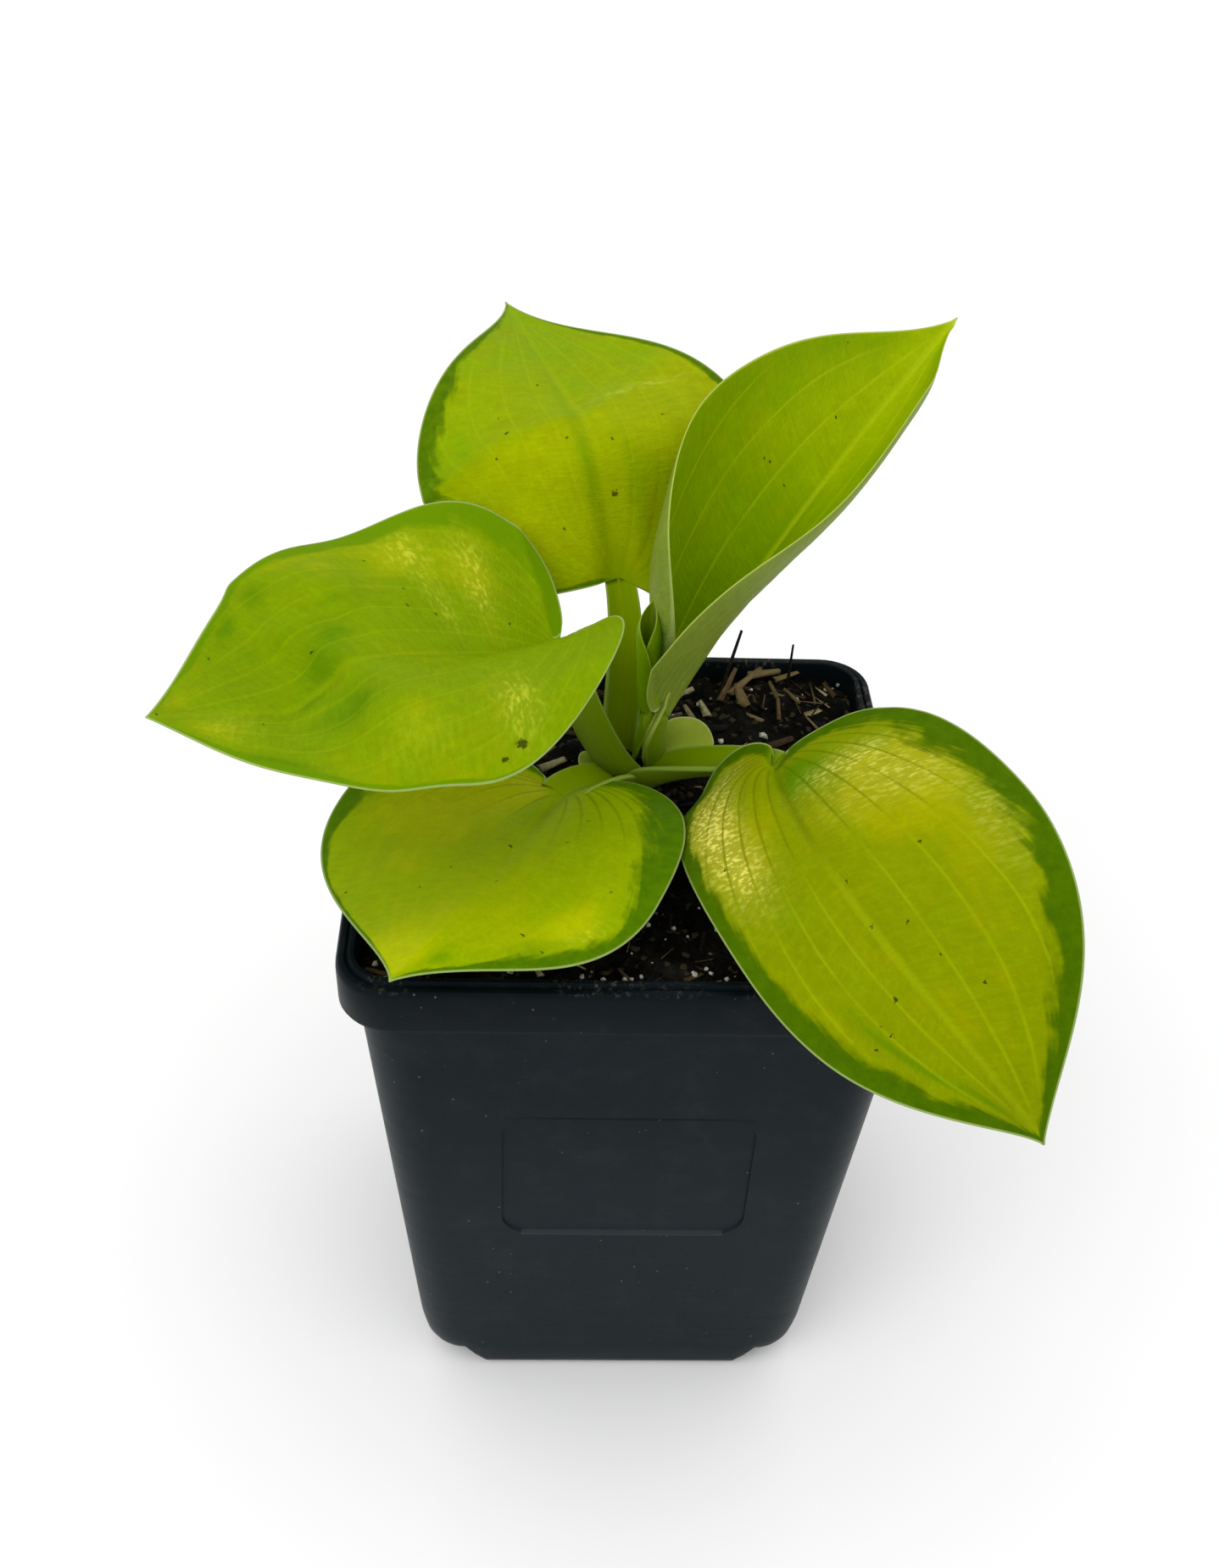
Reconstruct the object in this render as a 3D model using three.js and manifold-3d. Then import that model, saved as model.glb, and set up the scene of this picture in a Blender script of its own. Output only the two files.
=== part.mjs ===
// A hosta with five grown leaves in a square nursery pot, in millimetres, +Z up.
// The origin is at the middle of the pot's underside, and the pot's front wall faces -Y.
import * as THREE from 'three';
import { mergeVertices } from 'three/addons/utils/BufferGeometryUtils.js';
import Module from 'manifold-3d';

const wasm = await Module();
wasm.setup();

// Pot: half widths are measured from the axis to a flat wall
const potHeight = 131;
const rimHalf = 55;
const bodyTopHalf = 52;
const bodyBottomHalf = 41.75;
const bandBottom = 119.5;
const rimCorner = 10;
const bodyTopCorner = 11;
const bodyBottomCorner = 9;
const wallThickness = 1.6;
const floorThickness = 2;
const cornerRaise = 5;
const footShare = 0.82;
const cornerSteps = 4;
const drainRadius = 4.5;
const drainPlace = 30;
const panel = { left: -24.5, right: 25.5, bottom: 52.7, top: 92, corner: 6, depth: 0.5 };

// Clearances: from a leaf's foot down to the crown, from the mix to the pot and from the mix to
// the crown
const footGap = 0.3;
const potGap = 0.5;
const crownGap = 0.52;

// Potting mix
const mixLevel = 126;
const mixCells = 20;
const heap = { x: 32, y: 38, height: 1.9, spread: 15 };
const collar = { x: 2.5, y: 17, height: 0.5, spread: 13 };

// Crown that the leaves grow from
const crownAxis = { x: 1.6, y: 18 };
const crownTop = 127;
const crownRadius = 10.5;
const rootCount = 6;
const rootRadius = 1.5;

// Leaf blades and stalks
const bladeThickness = 0.65;
const stalkEdge = 0.8;
const tipHalfWidth = 0.3;
const footLevel = crownTop + footGap;
const midribSteps = 60;

const usualLeaf = {
  columns: 4,
  stalkRows: 6,
  bladeRows: 16,
  footRise: 90,
  footHalf: 2.9,
  footFold: 12,
  footCurl: 62,
  footThickness: 2.4,
  neckThickness: 1.5,
  bendAt: 0.5,
  bendSpan: 1,
  sweep: 0,
  dip: 0,
  dipAt: 0.6,
  dipSpan: 0.12,
  foldPower: 1,
  tube: 0,
  color: 0x93a90c,
};

// Each leaf: where its foot stands on the crown, where the blade starts, how the midrib runs from
// there (angles in degrees), and how the blade's left and right halves are cut, folded and waved
const leaves = [
  {
    name: 'leaf_left',
    foot: [-1.2, 16.4], footTurn: 208, footRise: 45, footHandle: 12, neckRise: 75, neckHandle: 12,
    footHalf: 3.2, footThickness: 1.7,
    base: [-15, 3.5, 164], length: 84.5, heading: 209, rise: 18, droop: 2, sweep: 1,
    roll: 17, twist: 1, dip: 48, dipAt: 0.58, dipSpan: 0.1,
    neck: 3.5, tipPull: 0.17, tipWidth: 0.39, waves: 1.88, foldPower: 0.53,
    left: {
      width: 39.5, widest: 0.35, lobe: -1, foldBase: 54, foldTip: -23,
      curlBase: -58, curlTip: -22, lift: 0, wave: 5.5, phase: -0.14,
    },
    right: {
      width: 40.5, widest: 0.35, lobe: 4.5, foldBase: 47, foldTip: 20,
      curlBase: -12, curlTip: 10, lift: 4.5, wave: 6, phase: -0.2,
    },
  },
  {
    name: 'leaf_back',
    foot: [-1.9, 22.8], footTurn: 96, footHandle: 14, neckHandle: 12,
    footHalf: 2.8, footFold: 4, footCurl: 40,
    base: [-2, 29.5, 166], length: 93.5, heading: 111, rise: 56, droop: 55, sweep: -5,
    bendAt: 0.3, bendSpan: 0.22, roll: 3, twist: 0,
    neck: 3.2, tipPull: 0.27, tipWidth: 0.18, waves: 1.56,
    left: {
      width: 37.5, widest: 0.29, lobe: 1, foldBase: -11, foldTip: 14,
      curlBase: -50, curlTip: -16, lift: 0, wave: 3.5, phase: -0.08,
    },
    right: {
      width: 38.5, widest: 0.32, lobe: 6.5, foldBase: 0, foldTip: 6,
      curlBase: -35, curlTip: 35, lift: 0, wave: 1.5, phase: 0.03,
    },
    color: 0x9aa800,
  },
  {
    name: 'leaf_upright',
    foot: [6.9, 18.8], footTurn: 52, footHandle: 6, neckRise: 75, neckHandle: 4, footCurl: 40,
    footHalf: 2.4, footThickness: 1.9, neckThickness: 1.2,
    base: [6.5, 14.5, 142.5], length: 128, heading: 52, rise: 31, droop: 19, sweep: 3,
    roll: 8, twist: 2,
    neck: 2, tipPull: 0.21, tipWidth: 0.16, waves: 1.85, foldPower: 0.61, tube: 1,
    left: {
      width: 46, widest: 0.14, lobe: -6.5, foldBase: 61, foldTip: 16,
      curlBase: 97, curlTip: 23, lift: 0, wave: -3.5, phase: 0.14,
    },
    right: {
      width: 35.5, widest: 0.3, lobe: 3, foldBase: 99, foldTip: -2,
      curlBase: -29, curlTip: 96, lift: 0, wave: 5, phase: -0.03,
    },
    color: 0x6f9404,
  },
  {
    name: 'leaf_right',
    foot: [4.7, 13.4], footTurn: -42, footHandle: 4, neckHandle: 12, footHalf: 2.9,
    footThickness: 1.9,
    base: [26.5, -9, 148.5], length: 95, heading: -85, rise: 5, droop: 57, sweep: 67,
    roll: 17, twist: 5,
    neck: 2, tipPull: 0.14, tipWidth: 0.26, waves: 1.34,
    left: {
      width: 39, widest: 0.4, lobe: 2.5, foldBase: 19, foldTip: 37,
      curlBase: -34, curlTip: 0, lift: -0.5, wave: 5, phase: 0.15,
    },
    right: {
      width: 26, widest: 0.42, lobe: 13.5, foldBase: -8, foldTip: 11,
      curlBase: -36, curlTip: -14, lift: -2, wave: -5.5, phase: 0.14,
    },
    color: 0x97a402,
  },
  {
    name: 'leaf_front',
    foot: [-1.6, 11], footTurn: -125, footRise: 60, footHandle: 3, neckHandle: 5, footHalf: 2.6,
    footThickness: 1.8,
    base: [-13.5, -4, 136.5], length: 70.5, heading: -110, rise: 12, droop: 10, sweep: -10,
    roll: 3, twist: 5,
    neck: 4, tipPull: 0.16, tipWidth: 0.22, waves: 1.54,
    left: {
      width: 30.5, widest: 0.41, lobe: 11, foldBase: 6, foldTip: -10,
      curlBase: -15, curlTip: -24, lift: -1, wave: -2, phase: 0.01,
    },
    right: {
      width: 40, widest: 0.32, lobe: 6.5, foldBase: 11, foldTip: -13,
      curlBase: -4, curlTip: -23, lift: 1.5, wave: 0.5, phase: 0,
    },
  },
  {
    name: 'leaf_young',
    columns: 4, stalkRows: 3, bladeRows: 9,
    foot: [1.6, 20], footTurn: 84, footHandle: 5, neckHandle: 5,
    footHalf: 1.4, footThickness: 0.9, neckThickness: 0.6,
    base: [2.4, 17.7, 138.5], length: 27, heading: 70, rise: 86, droop: 4, roll: 0, twist: 0,
    neck: 1.5, tipPull: 0.3, tipWidth: 0.3, waves: 1, tube: 1,
    left: {
      width: 7.4, widest: 0.4, lobe: 0, foldBase: 10, foldTip: 10,
      curlBase: 150, curlTip: 120, lift: 0, wave: 0, phase: 0,
    },
    right: {
      width: 6.8, widest: 0.4, lobe: 0, foldBase: 10, foldTip: 10,
      curlBase: 130, curlTip: 110, lift: 0, wave: 0, phase: 0,
    },
    color: 0x5f8a0a,
  },
  {
    name: 'bud_scale_right',
    columns: 2, stalkRows: 2, bladeRows: 6,
    foot: [9.7, 22.4], footTurn: 20, footHandle: 1.2, neckHandle: 1.5,
    footHalf: 2.2, footCurl: 30, footThickness: 0.9, neckThickness: 0.5,
    base: [11.1, 22.6, 129.8], length: 9.5, heading: 12, rise: 26, droop: 34, roll: -14, twist: 0,
    neck: 3, tipPull: 0.05, tipWidth: 0.75, waves: 1,
    left: {
      width: 5.5, widest: 0.5, lobe: 0, foldBase: 10, foldTip: 5,
      curlBase: 20, curlTip: 10, lift: 0, wave: 0, phase: 0,
    },
    right: {
      width: 5, widest: 0.5, lobe: 0, foldBase: 10, foldTip: 5,
      curlBase: 20, curlTip: 10, lift: 0, wave: 0, phase: 0,
    },
    color: 0x95a860,
  },
  {
    name: 'bud_scale_left',
    columns: 2, stalkRows: 2, bladeRows: 5,
    foot: [-6, 18.6], footTurn: 170, footHandle: 1, neckHandle: 1.2,
    footHalf: 1.8, footCurl: 30, footThickness: 0.9, neckThickness: 0.5,
    base: [-7, 18.4, 128.8], length: 6, heading: 190, rise: 30, droop: 20, roll: 0, twist: 0,
    neck: 2, tipPull: 0.1, tipWidth: 0.7, waves: 1,
    left: {
      width: 3.4, widest: 0.45, lobe: 0, foldBase: 10, foldTip: 5,
      curlBase: 20, curlTip: 10, lift: 0, wave: 0, phase: 0,
    },
    right: {
      width: 3.2, widest: 0.45, lobe: 0, foldBase: 10, foldTip: 5,
      curlBase: 20, curlTip: 10, lift: 0, wave: 0, phase: 0,
    },
    color: 0x95a860,
  },
];

// Solids

function toSolid(geometry) {
  const bare = geometry.clone();
  bare.deleteAttribute('normal');
  bare.deleteAttribute('uv');
  const merged = mergeVertices(bare, 1e-4);
  const corners = merged.index.array;
  const kept = [];
  for (let i = 0; i < corners.length; i += 3) {
    const [a, b, c] = corners.slice(i, i + 3);
    if (a !== b && b !== c && c !== a) {
      kept.push(a, b, c);
    }
  }
  return new wasm.Manifold(new wasm.Mesh({
    numProp: 3,
    vertProperties: new Float32Array(merged.attributes.position.array),
    triVerts: new Uint32Array(kept),
  }));
}

function toGeometry(solid) {
  const mesh = solid.getMesh();
  const geometry = new THREE.BufferGeometry();
  geometry.setAttribute('position', new THREE.BufferAttribute(mesh.vertProperties, 3));
  geometry.setIndex(new THREE.BufferAttribute(mesh.triVerts, 1));
  geometry.computeVertexNormals();
  return geometry;
}

function placed(geometry, position, rotation) {
  const place = new THREE.Object3D();
  place.position.set(...position);
  place.rotation.set(...rotation, 'ZYX');
  place.updateMatrix();
  return geometry.applyMatrix4(place.matrix);
}

function addMesh(group, name, solid, color, roughness) {
  const material = new THREE.MeshStandardMaterial({ color, roughness, metalness: 0 });
  const mesh = new THREE.Mesh(toGeometry(solid), material);
  mesh.name = name;
  group.add(mesh);
}

// Pot

function bodyHalfAt(z) {
  return THREE.MathUtils.mapLinear(z, 0, bandBottom, bodyBottomHalf, bodyTopHalf);
}

function bodyCornerAt(z) {
  return THREE.MathUtils.mapLinear(z, 0, bandBottom, bodyBottomCorner, bodyTopCorner);
}

// One quarter of a rounded square ring, from a foot's end on one wall to the foot's end on the next
function quarterRing(ring) {
  const flat = ring.half - ring.corner;
  const lift = ring.raised ? cornerRaise : 0;
  const points = [[ring.half, flat * footShare, ring.z]];
  for (let step = 0; step <= cornerSteps; step++) {
    const angle = (step / cornerSteps) * Math.PI / 2;
    const x = flat + ring.corner * Math.cos(angle);
    const y = flat + ring.corner * Math.sin(angle);
    points.push([x, y, ring.z + lift]);
  }
  points.push([flat * footShare, ring.half, ring.z]);
  return points;
}

// A profile turned about the axis, with each of its circles drawn out to a rounded square. One that
// runs from the top down is turned outside in.
function squareTurned(rings, fromTop = false) {
  const quarterColumns = cornerSteps + 3;
  const columns = 4 * quarterColumns;
  const profile = rings.map((ring) => new THREE.Vector2(ring.half, ring.z));
  const geometry = new THREE.LatheGeometry(profile, columns);
  const position = geometry.attributes.position;
  rings.forEach((ring, row) => {
    const quarter = quarterRing(ring);
    for (let column = 0; column <= columns; column++) {
      const [x, y, z] = quarter[column % quarterColumns];
      const turn = (Math.floor(column / quarterColumns) % 4) * Math.PI / 2;
      const cos = Math.round(Math.cos(turn));
      const sin = Math.round(Math.sin(turn));
      position.setXYZ(column * rings.length + row, x * cos - y * sin, x * sin + y * cos, z);
    }
  });
  if (fromTop) {
    geometry.index.array.reverse();
  }
  return toSolid(geometry);
}

const axisRing = (z) => ({ half: 0, z, corner: 0 });
const bodyRing = (z, inset = 0) => ({
  half: bodyHalfAt(z) - inset,
  z,
  corner: bodyCornerAt(z) - inset,
});

function outsideRings() {
  return [
    axisRing(0),
    { half: 27, z: 0, corner: 4 },
    { half: 33.5, z: 0, corner: 6, raised: true },
    { half: bodyBottomHalf - 2.6, z: 0, corner: 7, raised: true },
    { half: bodyBottomHalf - 0.6, z: 0.9, corner: 8.4, raised: true },
    { ...bodyRing(3), raised: true },
    bodyRing(14),
    bodyRing(bandBottom),
    { half: rimHalf - 0.9, z: bandBottom + 0.2, corner: rimCorner + 0.4 },
    { half: rimHalf - 0.2, z: bandBottom + 1.4, corner: rimCorner },
    { half: rimHalf, z: potHeight - 1.8, corner: rimCorner },
    { half: rimHalf - 0.6, z: potHeight - 0.7, corner: rimCorner - 0.4 },
    { half: rimHalf - 1.7, z: potHeight - 0.7, corner: rimCorner - 1.4 },
    { half: rimHalf - 2.1, z: potHeight - 1.3, corner: rimCorner - 1.7 },
    { half: rimHalf - 2.5, z: potHeight, corner: rimCorner - 2 },
    { half: rimHalf - 3.4, z: potHeight, corner: rimCorner - 2.8 },
  ];
}

// The pot's inside, from the rim down to the floor, drawn in by a clearance
function insideRings(clearance) {
  const inset = wallThickness + clearance;
  return [
    { half: rimHalf - 3.7 - clearance, z: potHeight - 2.5, corner: rimCorner - 2.8 - clearance },
    bodyRing(bandBottom, inset),
    bodyRing(16, inset),
    { half: bodyHalfAt(6) - inset, z: 6 + clearance, corner: bodyBottomCorner - inset, raised: true },
    {
      half: bodyBottomHalf - 3.6 - clearance,
      z: floorThickness + clearance,
      corner: 6,
      raised: true,
    },
    { half: 33 - clearance, z: floorThickness + clearance, corner: 6, raised: true },
    { half: 26.5 - clearance, z: floorThickness + clearance, corner: 4 },
    axisRing(floorThickness + clearance),
  ];
}

function panelCutter() {
  const { left, right, bottom, top, corner, depth } = panel;
  const slope = Math.atan2(bodyTopHalf - bodyBottomHalf, bandBottom);
  const halfHeight = (top - bottom) / 2 / Math.cos(slope);
  const outline = new THREE.Shape();
  outline.moveTo(left + corner, -halfHeight);
  outline.lineTo(right - corner, -halfHeight);
  outline.absarc(right - corner, corner - halfHeight, corner, -Math.PI / 2, 0);
  outline.absarc(right - corner, halfHeight - corner, corner, 0, Math.PI / 2);
  outline.absarc(left + corner, halfHeight - corner, corner, Math.PI / 2, Math.PI);
  outline.absarc(left + corner, corner - halfHeight, corner, Math.PI, Math.PI * 1.5);
  const cutter = new THREE.ExtrudeGeometry(outline, {
    depth: 5,
    bevelEnabled: false,
    curveSegments: 4,
  });
  cutter.translate(0, 0, -depth);
  const middle = (bottom + top) / 2;
  return toSolid(placed(cutter, [0, -bodyHalfAt(middle), middle], [Math.PI / 2 + slope, 0, 0]));
}

function drainCutter(x, y) {
  const drain = new THREE.CylinderGeometry(drainRadius, drainRadius, 30, 12);
  return toSolid(placed(drain, [x, y, 0], [Math.PI / 2, 0, 0]));
}

function makePot() {
  let pot = squareTurned([...outsideRings(), ...insideRings(0)]).subtract(panelCutter());
  for (const x of [-drainPlace, drainPlace]) {
    for (const y of [-drainPlace, drainPlace]) {
      pot = pot.subtract(drainCutter(x, y));
    }
  }
  return pot;
}

// Crown: a short rhizome with fleshy roots, drawn larger by a clearance for its hole in the mix

function rootSolid(index, clearance) {
  const turn = (index + 0.35) / rootCount * Math.PI * 2;
  const reach = 20 + 6 * Math.sin(index * 2.3);
  const depth = 62 - 9 * Math.cos(index * 1.7);
  const sway = 5 * Math.sin(index * 3.1);
  const at = (share, z) => new THREE.Vector3(
    crownAxis.x * (1 - share) + (reach * Math.cos(turn) - sway * Math.sin(turn)) * share,
    crownAxis.y * (1 - share) + (reach * Math.sin(turn) + sway * Math.cos(turn)) * share,
    z,
  );
  const path = new THREE.CatmullRomCurve3([
    at(0.12, 112),
    at(0.55, 108),
    at(0.9, 94),
    at(1, depth),
  ]);
  const section = new THREE.Shape();
  const radius = rootRadius + clearance;
  section.absarc(0, 0, radius, 0, Math.PI * 2);
  const root = toSolid(new THREE.ExtrudeGeometry(section, {
    steps: 6,
    curveSegments: 3,
    extrudePath: path,
  }));
  if (clearance === 0) {
    return root;
  }
  const tip = new THREE.IcosahedronGeometry(1.3 * radius, 0);
  return root.add(toSolid(placed(tip, path.getPoint(1).toArray(), [0, 0, 0])));
}

function makeCrown(clearance) {
  const profile = [
    [0, 100 - clearance],
    [4, 102],
    [7, 110],
    [9.5, 118],
    [crownRadius, 123],
    [crownRadius - 0.5, crownTop - 1.2],
    [crownRadius - 2, crownTop],
    [0, crownTop],
  ];
  if (clearance > 0) {
    profile.pop();
    profile.push([crownRadius - 2, crownTop + 6], [0, crownTop + 6]);
  }
  const grown = profile.map(([radius, z]) => (
    new THREE.Vector2(radius > 0 ? radius + clearance : 0, z)
  ));
  const body = new THREE.LatheGeometry(grown, 14);
  let crown = toSolid(placed(body, [crownAxis.x, crownAxis.y, 0], [Math.PI / 2, 0, 0]));
  for (let index = 0; index < rootCount; index++) {
    crown = crown.add(rootSolid(index, clearance));
  }
  return crown;
}

// Potting mix with the bark chips and pale grains that stand out of it

function mixHeight(x, y) {
  const swell = ({ x: cx, y: cy, height, spread }) => (
    height * Math.exp(-((x - cx) ** 2 + (y - cy) ** 2) / (2 * spread ** 2))
  );
  const ripple = 0.45 * Math.sin(0.21 * x + 0.4) * Math.cos(0.17 * y - 0.3)
    + 0.3 * Math.sin(0.47 * x + 0.23 * y)
    + 0.25 * Math.cos(0.39 * y - 0.31 * x);
  return mixLevel + ripple + swell(heap) + swell(collar);
}

function mixBlock() {
  const side = 2 * rimHalf;
  const block = new THREE.BoxGeometry(side, side, 2, mixCells, mixCells, 1);
  const position = block.attributes.position;
  for (let i = 0; i < position.count; i++) {
    if (position.getZ(i) > 0) {
      position.setZ(i, mixHeight(position.getX(i), position.getY(i)));
    }
  }
  return toSolid(block);
}

// A flat splinter of bark, its middle sunk to the mix surface, turned and leaning by degrees
function barkChip({ x, y, length, width, turn, lean, sunk = 0 }) {
  const chip = new THREE.BoxGeometry(length, width, Math.min(1.4, width * 0.6), 2, 1, 1);
  const position = chip.attributes.position;
  for (let i = 0; i < position.count; i++) {
    const along = position.getX(i) / length;
    position.setY(i, position.getY(i) * (1 - 0.9 * along ** 2));
    position.setZ(i, position.getZ(i) * (1 - 0.8 * along ** 2) + 0.05 * length * along ** 2);
  }
  const angles = [0.3 * Math.sin(turn), -THREE.MathUtils.degToRad(lean), THREE.MathUtils.degToRad(turn)];
  return toSolid(placed(chip, [x, y, mixHeight(x, y) + 0.2 - sunk], angles));
}

const placedChips = [
  { x: 25, y: 45.5, length: 17, width: 2, turn: 62, lean: 52, sunk: -3.5 },
  { x: 29, y: 45, length: 15, width: 2.6, turn: 48, lean: 12 },
  { x: 37.5, y: 48, length: 11, width: 1, turn: 78, lean: 58, sunk: -3 },
  { x: 33.5, y: 41.5, length: 11, width: 2.4, turn: 96, lean: -8 },
  { x: 41, y: 45, length: 9, width: 2.2, turn: 12, lean: 6 },
  { x: 27, y: 38, length: 8, width: 2, turn: 130, lean: 5 },
  { x: 43, y: 38, length: 8, width: 1.6, turn: 110, lean: 10 },
  { x: 33, y: 26.5, length: 8, width: 3, turn: 25, lean: 8 },
  { x: -15, y: 16, length: 9, width: 3, turn: 8, lean: 4 },
  { x: -11, y: 18.5, length: 6, width: 2, turn: 40, lean: 10 },
];

const looseBits = { chips: 8, grains: 12, reach: 44, seed: 11 };

function looseSolids() {
  const random = () => THREE.MathUtils.seededRandom();
  THREE.MathUtils.seededRandom(looseBits.seed);
  const spot = () => ({
    x: (2 * random() - 1) * looseBits.reach,
    y: (2 * random() - 1) * looseBits.reach,
  });
  const solids = [];
  for (let i = 0; i < looseBits.chips; i++) {
    const { x, y } = spot();
    const size = { length: 5 + 4 * random(), width: 1.4 + 1.2 * random() };
    solids.push(barkChip({ x, y, ...size, turn: 180 * random(), lean: 12 * random() }));
  }
  for (let i = 0; i < looseBits.grains; i++) {
    const { x, y } = spot();
    const grain = new THREE.IcosahedronGeometry(0.9 + 0.6 * random(), 0);
    grain.scale(1, 0.8, 0.7);
    solids.push(toSolid(placed(grain, [x, y, mixHeight(x, y) + 0.1], [0, 0, 3 * random()])));
  }
  return solids;
}

function makeMix() {
  const cavity = squareTurned([
    axisRing(potHeight + 14),
    { half: rimHalf - 3.7 - potGap, z: potHeight + 14, corner: rimCorner - 3.3 },
    ...insideRings(potGap),
  ], true);
  let mix = mixBlock();
  for (const bit of [...placedChips.map(barkChip), ...looseSolids()]) {
    mix = mix.add(bit);
  }
  return mix.intersect(cavity).subtract(makeCrown(crownGap));
}

// Leaves

const rad = THREE.MathUtils.degToRad;
const lerp = THREE.MathUtils.lerp;

function pointing(riseDegrees, headingDegrees) {
  const rise = rad(riseDegrees);
  const heading = rad(headingDegrees);
  return new THREE.Vector3(
    Math.cos(rise) * Math.cos(heading),
    Math.cos(rise) * Math.sin(heading),
    Math.sin(rise),
  );
}

function midribDirection(leaf, s) {
  const bendStart = leaf.bendAt - leaf.bendSpan / 2;
  const bent = leaf.bendSpan < 1
    ? THREE.MathUtils.smoothstep(s, bendStart, bendStart + leaf.bendSpan)
    : s;
  const dip = leaf.dip * Math.exp(-(((s - leaf.dipAt) / leaf.dipSpan) ** 2));
  return pointing(leaf.rise - leaf.droop * bent - dip, leaf.heading + leaf.sweep * s);
}

// The frame that a leaf's cross-section is drawn in: along the rib, across it and up from its face
function sectionFrame(point, along, headingDegrees, rollDegrees) {
  const heading = rad(headingDegrees);
  const level = new THREE.Vector3(-Math.sin(heading), Math.cos(heading), 0);
  level.addScaledVector(along, -level.dot(along)).normalize();
  const across = level.clone().applyAxisAngle(along, rad(rollDegrees));
  return { point, along, across, up: along.clone().cross(across) };
}

function midribPoints(leaf) {
  const points = [new THREE.Vector3(...leaf.base)];
  const step = leaf.length / midribSteps;
  for (let i = 0; i < midribSteps; i++) {
    const next = points[i].clone();
    next.addScaledVector(midribDirection(leaf, i / midribSteps), step / 2);
    next.addScaledVector(midribDirection(leaf, (i + 1) / midribSteps), step / 2);
    points.push(next);
  }
  return points;
}

function midribFrame(leaf, s) {
  const place = THREE.MathUtils.clamp(s, 0, 1) * midribSteps;
  const i = Math.min(Math.floor(place), midribSteps - 1);
  const point = leaf.ribPoints[i].clone().lerp(leaf.ribPoints[i + 1], place - i);
  const along = midribDirection(leaf, THREE.MathUtils.clamp(s, 0, 1));
  const turn = leaf.heading + leaf.sweep * s;
  return sectionFrame(point, along, turn, leaf.roll + leaf.twist * s);
}

// Half a blade laid flat: from the neck round the lobe, out to the widest place and in to the tip
function halfOutline(leaf, side) {
  const { length, neck, tipPull, tipWidth } = leaf;
  const { width, lobe } = side;
  const widest = side.widest * length;
  const shoulder = widest - 0.55 * (widest + lobe);
  const outline = new THREE.Path();
  outline.moveTo(0, neck);
  outline.bezierCurveTo(-0.55 * lobe, neck, -lobe, 0.18 * width, -lobe, 0.4 * width);
  outline.bezierCurveTo(-lobe, 0.74 * width, shoulder, width, widest, width);
  const run = widest + 0.5 * (length - widest);
  outline.bezierCurveTo(run, width, length * (1 - tipPull), tipWidth * width, length, 0);
  return outline;
}

// Sideways and upward distance of a point b from the rib, across a blade that leaves the rib at
// the angle fold and then curls by the angle curl for each millimetre
function acrossSection(fold, curl, b) {
  const bend = Math.abs(curl) < 1e-5 ? 1e-5 : curl;
  return {
    sideways: (Math.sin(fold + bend * b) - Math.sin(fold)) / bend,
    upward: (Math.cos(fold) - Math.cos(fold + bend * b)) / bend,
  };
}

function sectionPoint(frame, sign, sideways, upward) {
  return frame.point.clone()
    .addScaledVector(frame.across, sign * sideways)
    .addScaledVector(frame.up, upward);
}

function curlAt(leaf, side, share, edge) {
  const rolled = Math.max(edge, 0.05 * side.width);
  return rad(lerp(side.curlBase, side.curlTip, share)) / lerp(side.width, rolled, leaf.tube);
}

function bladePoint(leaf, side, sign, u, t) {
  const edge = side.outline.getPoint(t);
  const a = lerp(leaf.length * t ** 1.6, edge.x, u);
  const b = Math.max(edge.y, tipHalfWidth) * u;
  const behind = Math.min(a, 0);
  const frame = midribFrame(leaf, a / leaf.length);
  frame.point.addScaledVector(frame.along, behind);
  const share = THREE.MathUtils.clamp(a / leaf.length, 1e-6, 1) ** leaf.foldPower;
  const fold = rad(lerp(side.foldBase, side.foldTip, share));
  const { sideways, upward } = acrossSection(fold, curlAt(leaf, side, share, edge.y), b);
  const lift = side.lift * (behind / 12) ** 2;
  const wave = side.wave * (b / side.width) ** 2
    * Math.sin(2 * Math.PI * (leaf.waves * t + side.phase));
  return {
    point: sectionPoint(frame, sign, sideways, upward + lift + wave),
    thickness: bladeThickness
      + leaf.neckThickness * Math.exp(-1.2 * (b / leaf.neck) ** 2) * (1 - t) ** 2,
  };
}

function stalkCurve(leaf) {
  const foot = new THREE.Vector3(...leaf.foot, footLevel);
  const base = new THREE.Vector3(...leaf.base);
  const leaving = pointing(leaf.footRise, leaf.footTurn);
  const arriving = pointing(leaf.neckRise ?? leaf.rise, leaf.heading);
  return new THREE.CubicBezierCurve3(
    foot,
    foot.clone().addScaledVector(leaving, leaf.footHandle),
    base.clone().addScaledVector(arriving, -leaf.neckHandle),
    base,
  );
}

function stalkPoint(leaf, side, sign, u, s) {
  const turn = leaf.heading + wrapTurn(leaf.footTurn - leaf.heading) * (1 - s);
  const along = leaf.stalk.getTangent(s);
  const frame = sectionFrame(leaf.stalk.getPoint(s), along, turn, leaf.roll * s);
  const b = lerp(leaf.footHalf, leaf.neck, s) * u;
  const fold = rad(lerp(leaf.footFold, side.foldBase, s));
  const curl = lerp(rad(leaf.footCurl) / leaf.footHalf, curlAt(leaf, side, 0, leaf.neck), s);
  const { sideways, upward } = acrossSection(fold, curl, b);
  const point = sectionPoint(frame, sign, sideways, upward);
  if (s === 0) {
    point.setZ(footLevel);
  }
  return {
    point,
    thickness: lerp(stalkEdge, bladeThickness, s)
      + lerp(leaf.footThickness, leaf.neckThickness, s) * Math.exp(-1.2 * u * u),
  };
}

function wrapTurn(degrees) {
  return THREE.MathUtils.euclideanModulo(degrees + 180, 360) - 180;
}

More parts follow.
